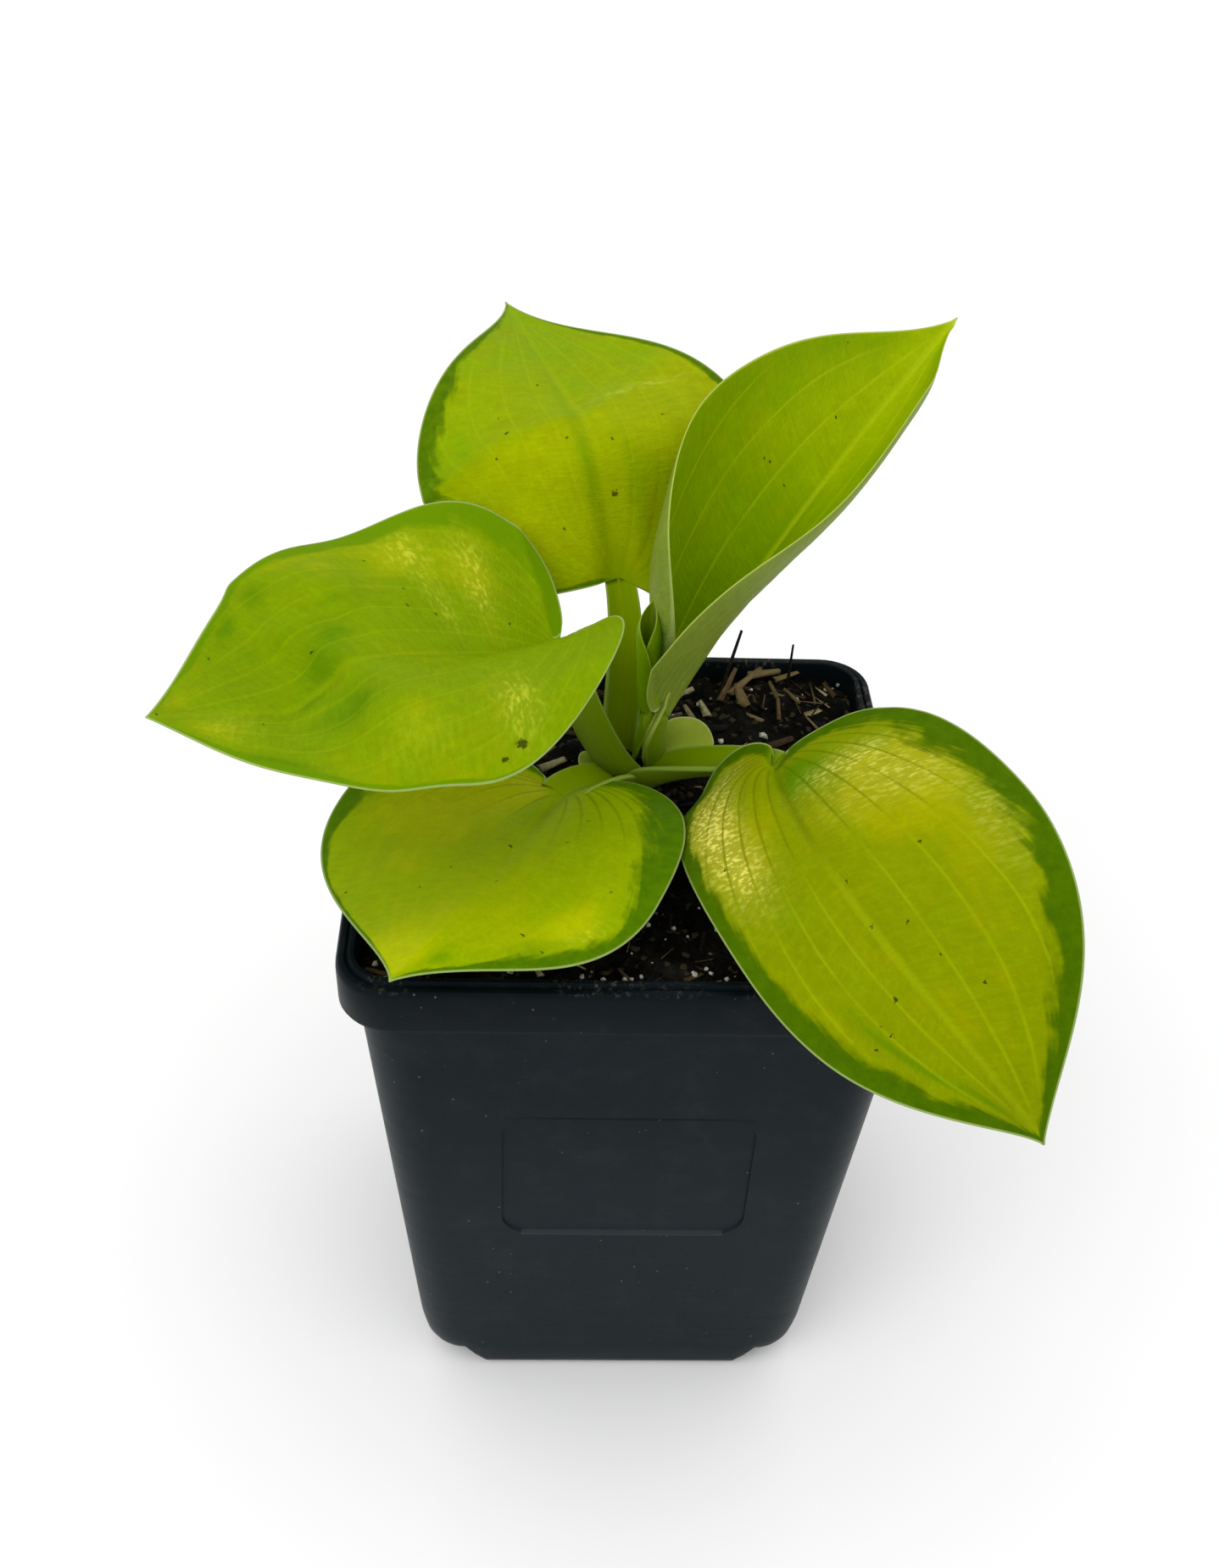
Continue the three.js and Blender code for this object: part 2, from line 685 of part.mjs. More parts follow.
// A closed sheet: a plane for its face, the same plane reversed below it, and a rim between them.
// Its first row is the foot, which ends level.
function sheetSolid(face, thickness) {
  const { widthSegments: columns, heightSegments: rows } = face.parameters;
  face.computeVertexNormals();
  const { position, normal } = face.attributes;
  const count = position.count;
  for (let i = 0; i <= columns; i++) {
    normal.setZ(i, 0);
  }
  const points = [...position.array];
  for (let i = 0; i < count; i++) {
    points.push(
      position.getX(i) - normal.getX(i) * thickness[i],
      position.getY(i) - normal.getY(i) * thickness[i],
      position.getZ(i) - normal.getZ(i) * thickness[i],
    );
  }
  const top = [...face.index.array];
  const under = top.map((corner) => corner + count).reverse();
  const border = [];
  const last = rows * (columns + 1);
  for (let i = 0; i < columns; i++) {
    border.push(last + i);
  }
  for (let i = rows; i > 0; i--) {
    border.push(i * (columns + 1) + columns);
  }
  for (let i = columns; i > 0; i--) {
    border.push(i);
  }
  for (let i = 0; i < rows; i++) {
    border.push(i * (columns + 1));
  }
  const rim = border.flatMap((a, i) => {
    const b = border[(i + 1) % border.length];
    return [a, a + count, b, b, a + count, b + count];
  });
  const sheet = new THREE.BufferGeometry();
  sheet.setAttribute('position', new THREE.Float32BufferAttribute(points, 3));
  sheet.setIndex([...top, ...under, ...rim]);
  return toSolid(sheet);
}

function makeLeaf(description) {
  const leaf = { ...usualLeaf, ...description };
  leaf.ribPoints = midribPoints(leaf);
  leaf.stalk = stalkCurve(leaf);
  leaf.left = { ...leaf.left, outline: halfOutline(leaf, leaf.left) };
  leaf.right = { ...leaf.right, outline: halfOutline(leaf, leaf.right) };
  const rows = leaf.stalkRows + leaf.bladeRows;
  const face = new THREE.PlaneGeometry(1, 1, 2 * leaf.columns, rows);
  const thickness = [];
  for (let row = 0; row <= rows; row++) {
    for (let column = -leaf.columns; column <= leaf.columns; column++) {
      const side = column < 0 ? leaf.right : leaf.left;
      const sign = column < 0 ? -1 : 1;
      const u = 1 - (1 - Math.abs(column) / leaf.columns) ** 1.35;
      const found = row < leaf.stalkRows
        ? stalkPoint(leaf, side, sign, u, row / leaf.stalkRows)
        : bladePoint(leaf, side, sign, u, (row - leaf.stalkRows) / leaf.bladeRows);
      face.attributes.position.setXYZ(thickness.length, ...found.point);
      thickness.push(found.thickness);
    }
  }
  return sheetSolid(face, thickness);
}

// The whole plant

const plant = new THREE.Group();
addMesh(plant, 'pot', makePot(), 0x23292a, 0.45);
addMesh(plant, 'potting_mix', makeMix(), 0x1a1613, 0.95);
addMesh(plant, 'crown', makeCrown(0), 0xb7b07a, 0.7);
for (const leaf of leaves) {
  addMesh(plant, leaf.name, makeLeaf(leaf), leaf.color ?? usualLeaf.color, 0.42);
}

export default plant;
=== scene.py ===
import math
import random

import bmesh
import bpy
from mathutils import Matrix, Vector, noise
from mathutils.geometry import interpolate_bezier


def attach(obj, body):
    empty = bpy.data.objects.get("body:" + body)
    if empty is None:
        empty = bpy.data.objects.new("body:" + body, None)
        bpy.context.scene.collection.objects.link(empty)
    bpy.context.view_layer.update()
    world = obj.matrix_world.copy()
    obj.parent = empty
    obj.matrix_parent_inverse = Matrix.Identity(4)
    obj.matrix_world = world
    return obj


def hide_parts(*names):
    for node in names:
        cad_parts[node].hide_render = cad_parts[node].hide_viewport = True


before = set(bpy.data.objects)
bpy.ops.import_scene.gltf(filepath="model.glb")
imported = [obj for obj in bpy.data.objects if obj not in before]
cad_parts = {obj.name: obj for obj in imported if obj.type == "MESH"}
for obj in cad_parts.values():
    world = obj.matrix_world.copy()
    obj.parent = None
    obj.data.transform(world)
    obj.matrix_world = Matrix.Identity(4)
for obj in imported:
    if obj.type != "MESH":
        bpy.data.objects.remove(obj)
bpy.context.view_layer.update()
print("frame loaded with", len(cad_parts), "nodes")

# Pieces are drawn in millimetres, and finishPiece makes them metres. Materials see them in metres, but
# the values that a leaf carries stay in millimetres
mm = 0.001


def lerp(a, b, share):
    return a + (b - a) * share


def clamp(value, low=0.0, high=1.0):
    return max(low, min(high, value))


def smoothstep(low, high, value):
    share = clamp((value - low) / (high - low))
    return share * share * (3 - 2 * share)


def bell(value, width):
    return math.exp(-((value / width) ** 2))


def linked(name, data):
    thing = bpy.data.objects.new(name, data)
    bpy.context.scene.collection.objects.link(thing)
    return thing


def meshFrom(bm, name):
    mesh = bpy.data.meshes.new(name)
    bm.to_mesh(mesh)
    bm.free()
    return mesh


def finishPiece(bm, name, materials, nodes=()):
    bmesh.ops.scale(bm, vec=(mm, mm, mm), verts=bm.verts)
    mesh = meshFrom(bm, name)
    mesh.shade_smooth()
    for material in materials:
        mesh.materials.append(material)
    piece = linked(name, mesh)
    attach(piece, "root")
    if nodes:
        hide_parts(*nodes)
    return piece


# Camera at the photo's viewing angle. Turns are in degrees, and the lens is for the picture's long side
camera = dict(place=(-19.0, -289.8, 360.3), pitch=37.75, yaw=3.04, roll=2.83,
              lens=41.95, sensor=36, nearest=0.01)


def makeCamera():
    data = bpy.data.cameras.new("camera")
    data.lens = camera["lens"]
    data.sensor_width = camera["sensor"]
    data.clip_start = camera["nearest"]
    pitch, yaw, roll = (math.radians(camera[name]) for name in ("pitch", "yaw", "roll"))
    forward = Vector((math.sin(yaw) * math.cos(pitch), math.cos(yaw) * math.cos(pitch), -math.sin(pitch)))
    right = Vector((math.cos(yaw), -math.sin(yaw), 0))
    up = right.cross(forward)
    rolledRight = right * math.cos(roll) + up * math.sin(roll)
    rolledUp = up * math.cos(roll) - right * math.sin(roll)
    turned = Matrix((rolledRight, rolledUp, -forward)).transposed().to_4x4()
    eye = linked("camera", data)
    eye.matrix_world = Matrix.Translation(Vector(camera["place"]) * mm) @ turned
    bpy.context.scene.camera = eye


makeCamera()


# Shader nodes. An input is given as a socket or a plain value, and is keyed by its name or number
def makeNode(tree, kind, inputs=None, **settings):
    node = tree.nodes.new(kind)
    count = len(tree.nodes)
    node.location = (190 * (count % 12), -230 * (count // 12))  # rows of twelve in the node editor
    for name, value in settings.items():
        setattr(node, name, value)
    for name, value in (inputs or {}).items():
        if isinstance(value, bpy.types.NodeSocket):
            tree.links.new(value, node.inputs[name])
        else:
            node.inputs[name].default_value = value
    return node


def calc(tree, operation, a, b=0.0, c=0.0):
    return makeNode(tree, "ShaderNodeMath", {0: a, 1: b, 2: c}, operation=operation).outputs[0]


def times(tree, product, *others):
    for other in others:
        product = calc(tree, "MULTIPLY", product, other)
    return product


def plus(tree, total, *others):
    for other in others:
        total = calc(tree, "ADD", total, other)
    return total


def minus(tree, a, b):
    return calc(tree, "SUBTRACT", a, b)


def scaled(tree, value, factor, start):
    return calc(tree, "MULTIPLY_ADD", value, factor, start)


# Each pattern lies about 0.5 and moves the value up or down by up to half its span
def vary(tree, value, *patterns):
    for pattern, span in patterns:
        value = plus(tree, value, scaled(tree, pattern, span, -span / 2))
    return value


def vectorCalc(tree, operation, a, b, c=(0, 0, 0)):
    return makeNode(tree, "ShaderNodeVectorMath", {0: a, 1: b, 2: c}, operation=operation).outputs


def mixColour(tree, share, a, b, blend="MIX"):
    settings = dict(data_type="RGBA", blend_type=blend, clamp_factor=True)
    return makeNode(tree, "ShaderNodeMix", {0: share, 6: a, 7: b}, **settings).outputs[2]


def shaded(tree, colour, light):
    return mixColour(tree, 1.0, colour, spread(tree, light, light, light), "MULTIPLY")


def fade(tree, value, low, high, toLow=0.0, toHigh=1.0):
    inputs = {"Value": value, "From Min": low, "From Max": high, "To Min": toLow, "To Max": toHigh}
    return makeNode(tree, "ShaderNodeMapRange", inputs, interpolation_type="SMOOTHSTEP").outputs[0]


def spread(tree, x, y, z=0.0):
    return makeNode(tree, "ShaderNodeCombineXYZ", {0: x, 1: y, 2: z}).outputs[0]


def cloud(tree, where, scale, detail=2.0, roughness=0.5):
    inputs = {"Vector": where, "Scale": scale, "Detail": detail, "Roughness": roughness}
    return makeNode(tree, "ShaderNodeTexNoise", inputs).outputs[0]


def cellsAt(tree, where, scale, feature="F1"):
    return makeNode(tree, "ShaderNodeTexVoronoi", {"Vector": where, "Scale": scale}, feature=feature).outputs


def colourPart(tree, colour, part):
    return makeNode(tree, "ShaderNodeSeparateColor", {0: colour}).outputs[part]


def objectPlace(tree):
    return makeNode(tree, "ShaderNodeTexCoord").outputs["Object"]


def surfaceValue(tree, name):
    return makeNode(tree, "ShaderNodeAttribute", attribute_name=name).outputs["Fac"]


# Sockets are named under their kind. Every material that places a group gives all its inputs
def newGroup(name, inputs, outputs):
    tree = bpy.data.node_groups.new(name, "ShaderNodeTree")
    for sockets, way in ((inputs, "INPUT"), (outputs, "OUTPUT")):
        for kind, labels in sockets.items():
            for label in labels:
                tree.interface.new_socket(label, in_out=way, socket_type="NodeSocket" + kind)
    return tree, makeNode(tree, "NodeGroupInput").outputs, makeNode(tree, "NodeGroupOutput").inputs


def placeGroup(tree, group, inputs):
    return makeNode(tree, "ShaderNodeGroup", inputs, node_tree=group).outputs


def newMaterial(name, **constants):
    material = bpy.data.materials.new(name)
    material.use_nodes = True
    shader = material.node_tree.nodes["Principled BSDF"]
    for label, value in constants.items():
        shader.inputs[label.replace("_", " ")].default_value = value
    return material, material.node_tree, shader


def wireUp(tree, shader, colour, roughness, height, distance):
    tree.links.new(colour, shader.inputs["Base Color"])
    tree.links.new(roughness, shader.inputs["Roughness"])
    bump = makeNode(tree, "ShaderNodeBump", {"Height": height, "Distance": distance, "Strength": 1.0})
    tree.links.new(bump.outputs[0], shader.inputs["Normal"])


def srgb(*parts):
    return (*[c / 255 / 12.92 if c <= 10 else ((c / 255 + 0.055) / 1.055) ** 2.4 for c in parts], 1.0)


# Dust: pale specks and a thin uneven film over whatever colour it is given
def makeDust():
    tree, given, result = newGroup("dust", dict(Color=["Colour", "Dust"], Float=["Specks", "Film", "Size"]),
                                   dict(Color=["Colour"], Float=["Mask"]))
    where = objectPlace(tree)
    cells = cellsAt(tree, where, given["Size"])
    dots = fade(tree, cells["Distance"], 0.12, 0.2, 1.0, 0.0)
    chosen = fade(tree, colourPart(tree, cells["Color"], 0), 0.94, 0.95)  # one cell in twenty has a speck
    areas = fade(tree, cloud(tree, where, 38.0, 3.0), 0.4, 0.62)
    specks = times(tree, dots, chosen, areas, given["Specks"])
    film = times(tree, fade(tree, cloud(tree, where, 120.0, 5.0, 0.65), 0.45, 0.8), given["Film"])
    mask = calc(tree, "MAXIMUM", specks, film)
    tree.links.new(mixColour(tree, mask, given["Colour"], given["Dust"]), result["Colour"])
    tree.links.new(mask, result["Mask"])
    return tree


dust = makeDust()

# Leaves. Each one starts as a flat grid and is placed by the midrib's run and the outline's halves.
# Angles are in degrees. Shares of a blade: across is 0 at the midrib and 1 at the left edge or -1
# at the right edge, along is 0 at the neck and 1 at the tip.
usualLeaf = dict(
    columns=48, stalkRows=26, bladeRows=110, veins=3, sunk=5,
    footLevel=127.3, footRise=90, footHalf=2.9, swell=0, footFold=12, footCurl=62, footThickness=2.4,
    neckThickness=1.5, neckRise=None, bendAt=0.5, bendSpan=1, sweep=0, dip=0, dipAt=0.6, dipSpan=0.12,
    roll=0, twist=0, waves=1, foldPower=1, tube=0, crinkle=0.35, grooves=0.28, channel=0.35, channelWidth=1.5,
    wedge=14, dents=(), creases=(), tone=0, tones=(), steps=(), glints=(), specks=(),
    margins=dict(left=((0, 0), (1, 0)), right=((0, 0), (1, 0))), veinShow=0.3, veinReach=1000, paleFrom=0,
)
usualSide = dict(lobe=0, full=0, closing=0, lift=0, wave=0, phase=0)  # full: a rounder shoulder than usual

leftLeaf = dict(
    name="leftLeaf", node="leaf_left", slot="leaf_yellow_green", look="left",
    foot=(-1.4, 15.2), footTurn=208, footRise=45, footHandle=12, neckRise=75, neckHandle=12,
    footHalf=5.2, footCurl=84, swell=0.8, footThickness=1.7,
    base=(-15, 3.5, 164), length=84.5, heading=209, rise=18, droop=2, sweep=1,
    roll=17, twist=1, dip=48, dipAt=0.58, dipSpan=0.1,
    neck=4.2, tipPull=0.17, tipWidth=0.39, waves=1.88, foldPower=0.53,
    left=dict(width=39.5, widest=0.35, lobe=-1, foldBase=54, foldTip=-23,
              curlBase=-58, curlTip=-22, wave=5.5, phase=-0.14),
    right=dict(width=40.5, widest=0.35, lobe=4.5, foldBase=47, foldTip=20,
               curlBase=-12, curlTip=10, lift=4.5, wave=6, phase=-0.2),
    margins=dict(left=((0, 0.5), (0.4, 0.5), (0.65, 1.2), (0.8, 2.6), (1, 0.5)),
                 right=((0, 5), (0.3, 6), (0.45, 4.5), (0.6, 2), (0.8, 1.6), (1, 0.5))),
    # Greener (or, below 0, more golden) patches: across, along, half their spans, strength. Some greener
    # patches are painted shade in folds, dips and grooves, and golden ones round the glints are painted
    # sheen; the rest is the leaf's own colour. Glints, which are painted highlights, and dents are given in
    # the same way, dents with a height in millimetres
    tones=((-0.45, 0.56, 0.14, 0.04, 0.5), (-0.3, 0.63, 0.12, 0.04, 0.7), (-0.12, 0.7, 0.12, 0.04, 0.8),
           (0.05, 0.76, 0.12, 0.035, 0.7), (0.35, 0.65, 0.16, 0.05, 0.8), (0.42, 0.72, 0.12, 0.04, 0.5),
           (-0.82, 0.64, 0.1, 0.04, 1.2), (-0.85, 0.75, 0.07, 0.03, 1.0), (0.9, 0.79, 0.08, 0.08, 1.2),
           (0.07, 0.41, 0.25, 0.08, 0.6), (0.5, 0.9, 0.35, 0.06, -1.0), (-0.6, 0.91, 0.3, 0.06, -0.8),
           (-0.53, 0.31, 0.3, 0.06, -0.9), (-0.7, 0.42, 0.14, 0.05, -0.7), (0.68, 0.44, 0.24, 0.07, -0.7),
           (0.72, 0.57, 0.22, 0.07, -0.5)),
    glints=((-0.5, 0.31, 0.24, 0.03, 0.55), (-0.75, 0.41, 0.12, 0.03, 0.45), (-0.4, 0.4, 0.25, 0.02, 0.3),
            (0.7, 0.42, 0.18, 0.03, 0.5), (0.75, 0.57, 0.16, 0.05, 0.08), (0.4, 0.88, 0.35, 0.04, 0.12)),
    dents=((-0.38, 0.6, 0.2, 0.03, -1.2), (-0.1, 0.67, 0.2, 0.028, 1.3), (0.3, 0.67, 0.16, 0.035, -1.1),
           (-0.5, 0.68, 0.14, 0.03, 1.0), (0.08, 0.79, 0.15, 0.03, -0.9)),
    # Specks: across, along, radius
    specks=((-0.23, 0.25, 0.45), (-0.35, 0.47, 0.45), (-0.28, 0.43, 0.4), (-0.47, 0.45, 0.4),
            (-0.75, 0.47, 0.45), (-0.25, 0.68, 0.4), (0.28, 0.83, 0.4), (-0.35, 0.98, 0.35),
            (-0.8, 0.82, 0.4), (0.9, 0.44, 1.25), (0.93, 0.46, 0.8)),
    veins=3.5, grooves=0.16, veinShow=0.12, wedge=26,
)

backLeaf = dict(
    name="backLeaf", node="leaf_back", slot="leaf_yellow_green", look="back",
    foot=(-1.6, 21.8), footTurn=96, footHandle=14, neckHandle=12,
    footHalf=3.4, swell=0.3, footFold=4, footCurl=40,
    base=(-2, 29.5, 166), length=93.5, heading=111, rise=56, droop=55, sweep=-5,
    bendAt=0.3, bendSpan=0.22, roll=3,
    neck=3.2, tipPull=0.27, tipWidth=0.18, waves=1.56,
    left=dict(width=37.5, widest=0.29, lobe=1, foldBase=-11, foldTip=14,
              curlBase=-50, curlTip=-16, wave=3.5, phase=-0.08),
    right=dict(width=38.5, widest=0.32, lobe=6.5, foldBase=0, foldTip=6,
               curlBase=-35, curlTip=35, wave=1.5, phase=0.03),
    margins=dict(left=((0, 0.5), (0.15, 2), (0.25, 5.5), (0.55, 5.5), (0.75, 2.5), (1, 0.5)),
                 right=((0, 0.5), (0.3, 1.5), (0.6, 2), (0.85, 1), (1, 0.3))),
    # Steps and creases cross the blade: along, slope, half their width, strength or height
    tone=-0.7, steps=((0.55, -0.13, 0.025, 1.1),),
    tones=((0.1, 0.1, 0.5, 0.08, 0.5), (0.08, 0.42, 0.04, 0.16, 1.4), (-0.17, 0.36, 0.04, 0.1, 1.0),
           (0.4, 0.42, 0.25, 0.06, -0.9), (0.55, 0.3, 0.2, 0.06, -0.8), (-0.9, 0.5, 0.3, 0.2, -0.5)),
    creases=((0.555, -0.13, 0.03, 0.9),), glints=((-0.4, 0.6, 0.3, 0.008, 0.3),),
    specks=((0.5, 0.56, 0.4), (0.47, 0.51, 0.5), (0.55, 0.45, 0.4), (0.15, 0.48, 0.4), (0.3, 0.27, 0.5),
            (-0.05, 0.35, 0.75), (-0.1, 0.47, 0.45), (-0.45, 0.51, 0.4), (0.2, 0.67, 0.4)),
    channel=2.2, channelWidth=4.5, wedge=34, grooves=0.18, veinShow=0.14,
)

uprightLeaf = dict(
    name="uprightLeaf", node="leaf_upright", slot="leaf_green", look="upright",
    foot=(7.6, 17), footTurn=24, footHandle=6, neckRise=70, neckHandle=4,
    footHalf=3.7, footFold=80, footCurl=24, footThickness=1.6, neckThickness=1.2,
    base=(6.5, 14.5, 142.5), length=128, heading=52, rise=31, droop=19, sweep=3,
    roll=8, twist=2,
    neck=6.8, tipPull=0.21, tipWidth=0.16, waves=1.85, foldPower=0.61, tube=1,
    left=dict(width=46, widest=0.14, lobe=-6.5, foldBase=61, foldTip=16,
              curlBase=97, curlTip=23, wave=-3.5, phase=0.14),
    right=dict(width=35.5, widest=0.3, lobe=3.5, neck=6.3, foldBase=99, foldTip=-2,
               curlBase=-27, curlTip=96, wave=5, phase=-0.03),
    tones=((0.2, 0.3, 0.9, 0.2, 0.2), (0.2, 0.85, 1.0, 0.25, -1.0), (0.5, 0.45, 0.2, 0.1, -0.6)),
    specks=((0.3, 0.73, 0.45), (0.42, 0.57, 0.4), (0.2, 0.59, 0.4), (0.38, 0.58, 0.35), (0.9, 0.78, 0.4)),
    veins=2.3, veinShow=0.55, grooves=0.2, crinkle=0.25,
)

rightLeaf = dict(
    name="rightLeaf", node="leaf_right", slot="leaf_yellow_green", look="right",
    foot=(4.2, 11.6), footTurn=-42, footHandle=4, neckRise=34, neckHandle=12,
    footHalf=5, footCurl=84, swell=0.8, footThickness=1.9,
    base=(26.5, -9, 148.5), length=95, heading=-85, rise=5, droop=57, sweep=67,
    roll=17, twist=5,
    neck=3.4, tipPull=0.14, tipWidth=0.26, waves=1.34,
    left=dict(width=39, widest=0.4, lobe=2.5, foldBase=19, foldTip=37,
              curlBase=-34, curlTip=0, lift=-0.5, wave=5, phase=0.15),
    right=dict(width=24.5, widest=0.42, lobe=9, full=0.2, neck=2, inner=-0.5, closing=3.2, foldBase=-6,
               foldTip=11, curlBase=-25, curlTip=-14, lift=3, wave=-5.5, phase=0.14),
    margins=dict(left=((0, 3), (0.15, 6), (0.35, 8), (0.6, 7), (0.85, 4), (1, 1)),
                 right=((0, 3), (0.3, 2.8), (0.45, 4), (0.8, 4.2), (1, 1))),
    tones=((0.12, 0.2, 0.2, 0.1, 1.6), (0.2, 0.75, 0.6, 0.2, -0.2), (-0.6, 0.75, 0.06, 0.1, 1.1),
           (-0.5, 0.88, 0.08, 0.06, 1.1), (-0.45, 0.55, 0.2, 0.1, 0.35), (0.55, 0.38, 0.3, 0.09, -1.8),
           (-0.6, 0.35, 0.3, 0.14, -1.4), (0.7, 0.55, 0.2, 0.1, -0.8)),
    glints=((-0.68, 0.27, 0.17, 0.09, 1.9), (-0.6, 0.4, 0.18, 0.06, 0.9), (0.4, 0.275, 0.26, 0.04, 0.65),
            (0.62, 0.36, 0.16, 0.05, 0.45), (0.35, 0.36, 0.25, 0.05, 0.25), (0.8, 0.5, 0.1, 0.08, 0.25)),
    specks=((0.03, 0.53, 0.45), (0.42, 0.51, 0.4), (0.17, 0.63, 0.4), (0, 0.62, 0.45), (-0.25, 0.71, 0.55),
            (-0.5, 0.73, 0.4), (-0.5, 0.71, 0.35), (-0.68, 0.72, 0.4), (0.38, 0.75, 0.4), (0.23, 0.69, 0.4),
            (-0.7, 0.39, 0.5), (-0.9, 0.34, 0.4), (0.4, 0.9, 0.35)),
    veins=3, veinShow=0.24, paleFrom=45, grooves=0.2, channel=0.9, channelWidth=2.2,
)

frontLeaf = dict(
    name="frontLeaf", node="leaf_front", slot="leaf_yellow_green", look="front",
    foot=(-1.6, 11), footTurn=-125, footRise=60, footHandle=3, neckHandle=5,
    footHalf=4.2, swell=0.5, footThickness=1.8,
    base=(-13.5, -4, 136.5), length=70.5, heading=-110, rise=12, droop=10, sweep=-10,
    roll=3, twist=5,
    neck=4.6, tipPull=0.16, tipWidth=0.22, waves=1.54,
    left=dict(width=30.5, widest=0.41, lobe=11, foldBase=6, foldTip=-10,
              curlBase=-15, curlTip=-24, lift=-1, wave=-2, phase=0.01),
    right=dict(width=40, widest=0.32, lobe=6.5, foldBase=11, foldTip=-13,
               curlBase=-4, curlTip=-23, lift=1.5, wave=0.5),
    margins=dict(left=((0, 3), (0.15, 6.5), (0.3, 8.5), (0.5, 7), (0.62, 3), (0.75, 3), (1, 0.5)),
                 right=((0, 0.5), (0.25, 5.5), (0.43, 7), (0.53, 3.2), (0.62, 1.2), (1, 0.4))),
    # The last patch is painted light: it makes the right half, where the left leaf shades it, brighter and
    # more golden
    tones=((-0.2, 0.2, 0.3, 0.12, -0.8), (-0.4, 0.93, 0.6, 0.06, -1.4), (0.45, 0.35, 0.3, 0.15, 0.3),
           (0.5, 0.9, 0.2, 0.03, 1.2), (0.78, 0.76, 0.1, 0.04, 1.1), (-0.05, 0.3, 0.08, 0.2, 0.9),
           (0.7, 0.65, 0.12, 0.08, -1.2), (-0.55, 0.4, 0.35, 0.22, -1.5)),
    glints=((0.82, 0.66, 0.07, 0.03, 0.45),),
    specks=((-0.03, 0.52, 0.6), (-0.25, 0.63, 0.4), (-0.4, 0.7, 0.4), (0.07, 0.66, 0.35), (0.33, 0.35, 0.4),
            (0.28, 0.45, 0.4), (0.7, 0.55, 0.35), (0.82, 0.75, 0.35), (-0.9, 0.69, 0.35), (0.6, 0.75, 0.4)),
    veins=3.4, veinShow=0.3, veinReach=30, paleFrom=200, grooves=0.12, channel=0.9, channelWidth=2, wedge=24,
)

youngLeaf = dict(
    name="youngLeaf", node="leaf_young", slot="leaf_green", look="young",
    columns=24, stalkRows=14, bladeRows=50, veins=2,
    foot=(3.4, 18.4), footTurn=84, footHandle=5, neckHandle=5,
    footHalf=2.8, footThickness=0.9, neckThickness=0.6,
    base=(3.6, 11.9, 145.7), length=26.5, heading=70, rise=86, droop=-12,
    neck=2.2, tipPull=0.08, tipWidth=0.9, tube=1, foldPower=2.5,
    left=dict(width=7.8, widest=0.6, foldBase=10, foldTip=10, curlBase=215, curlTip=95),
    right=dict(width=6.8, widest=0.6, foldBase=10, foldTip=10, curlBase=200, curlTip=90),
    crinkle=0.05, grooves=0.08,
)

rightScale = dict(
    name="rightScale", node="bud_scale_right", slot="bud_scale", look="scale",
    columns=16, stalkRows=6, bladeRows=28, veins=2.5,
    foot=(6.4, 21.6), footTurn=5, footRise=60, footHandle=0.8, neckHandle=0.8,
    footHalf=4.5, footCurl=30, footThickness=0.9, neckThickness=0.5,
    base=(8.6, 21.6, 128.6), length=10.4, heading=5, rise=24, droop=34, roll=38,
    neck=5, tipPull=0.08, tipWidth=0.7,
    left=dict(width=5.8, widest=0.3, foldBase=10, foldTip=5, curlBase=20, curlTip=10),
    right=dict(width=6, widest=0.35, foldBase=10, foldTip=5, curlBase=20, curlTip=10),
    crinkle=0.08, grooves=0.04,
)

leftScale = dict(
    name="leftScale", node="bud_scale_left", slot="bud_scale", look="scale",
    columns=12, stalkRows=6, bladeRows=20, veins=2,
    foot=(-4.8, 14.6), footTurn=170, footHandle=1, neckHandle=1.2,
    footHalf=2.6, footCurl=30, footThickness=0.9, neckThickness=0.5,
    base=(-5.6, 14.4, 129), length=5, heading=190, rise=30, droop=20,
    neck=3, tipPull=0.05, tipWidth=0.9,
    left=dict(width=3.6, widest=0.45, foldBase=10, foldTip=5, curlBase=20, curlTip=10),
    right=dict(width=3.4, widest=0.45, foldBase=10, foldTip=5, curlBase=20, curlTip=10),
    crinkle=0.08, grooves=0.04,
)

# What all the leaves share. Thicknesses, widths and runs are in millimetres
sheet = dict(
    rowSlant=1.6, leastHalf=0.12, thick=0.5, edgeThick=0.2, edgeRun=2.5, footThick=0.45, ribFall=1.2,
    veinWidth=0.7, firstVein=0.2, channelTip=0.7, lobeRun=6, lobeLift=12, spanSteps=60,
    puckers=((9, 1), (21, 1.6)), puckerFromRib=6, reliefFromEdge=5,
)


def pointing(rise, heading):
    rise = math.radians(rise)
    heading = math.radians(heading)
    return Vector((math.cos(rise) * math.cos(heading), math.cos(rise) * math.sin(heading), math.sin(rise)))


def ribDirection(leaf, share):
    bendStart = leaf["bendAt"] - leaf["bendSpan"] / 2
    bent = smoothstep(bendStart, bendStart + leaf["bendSpan"], share) if leaf["bendSpan"] < 1 else share
    dip = leaf["dip"] * bell(share - leaf["dipAt"], leaf["dipSpan"])
    return pointing(leaf["rise"] - leaf["droop"] * bent - dip, leaf["heading"] + leaf["sweep"] * share)


def runRib(leaf):
    points = [Vector(leaf["base"])]
    steps = sheet["spanSteps"]
    for i in range(steps):
        both = ribDirection(leaf, i / steps) + ribDirection(leaf, (i + 1) / steps)
        points.append(points[-1] + both * (leaf["length"] / steps / 2))
    return points


# Across the rib to the left, and up from the leaf's face
def sectionAxes(along, heading, roll):
    level = Vector((-math.sin(math.radians(heading)), math.cos(math.radians(heading)), 0))
    level = (level - along * level.dot(along)).normalized()
    across = Matrix.Rotation(math.radians(roll), 3, along) @ level
    return across, along.cross(across)


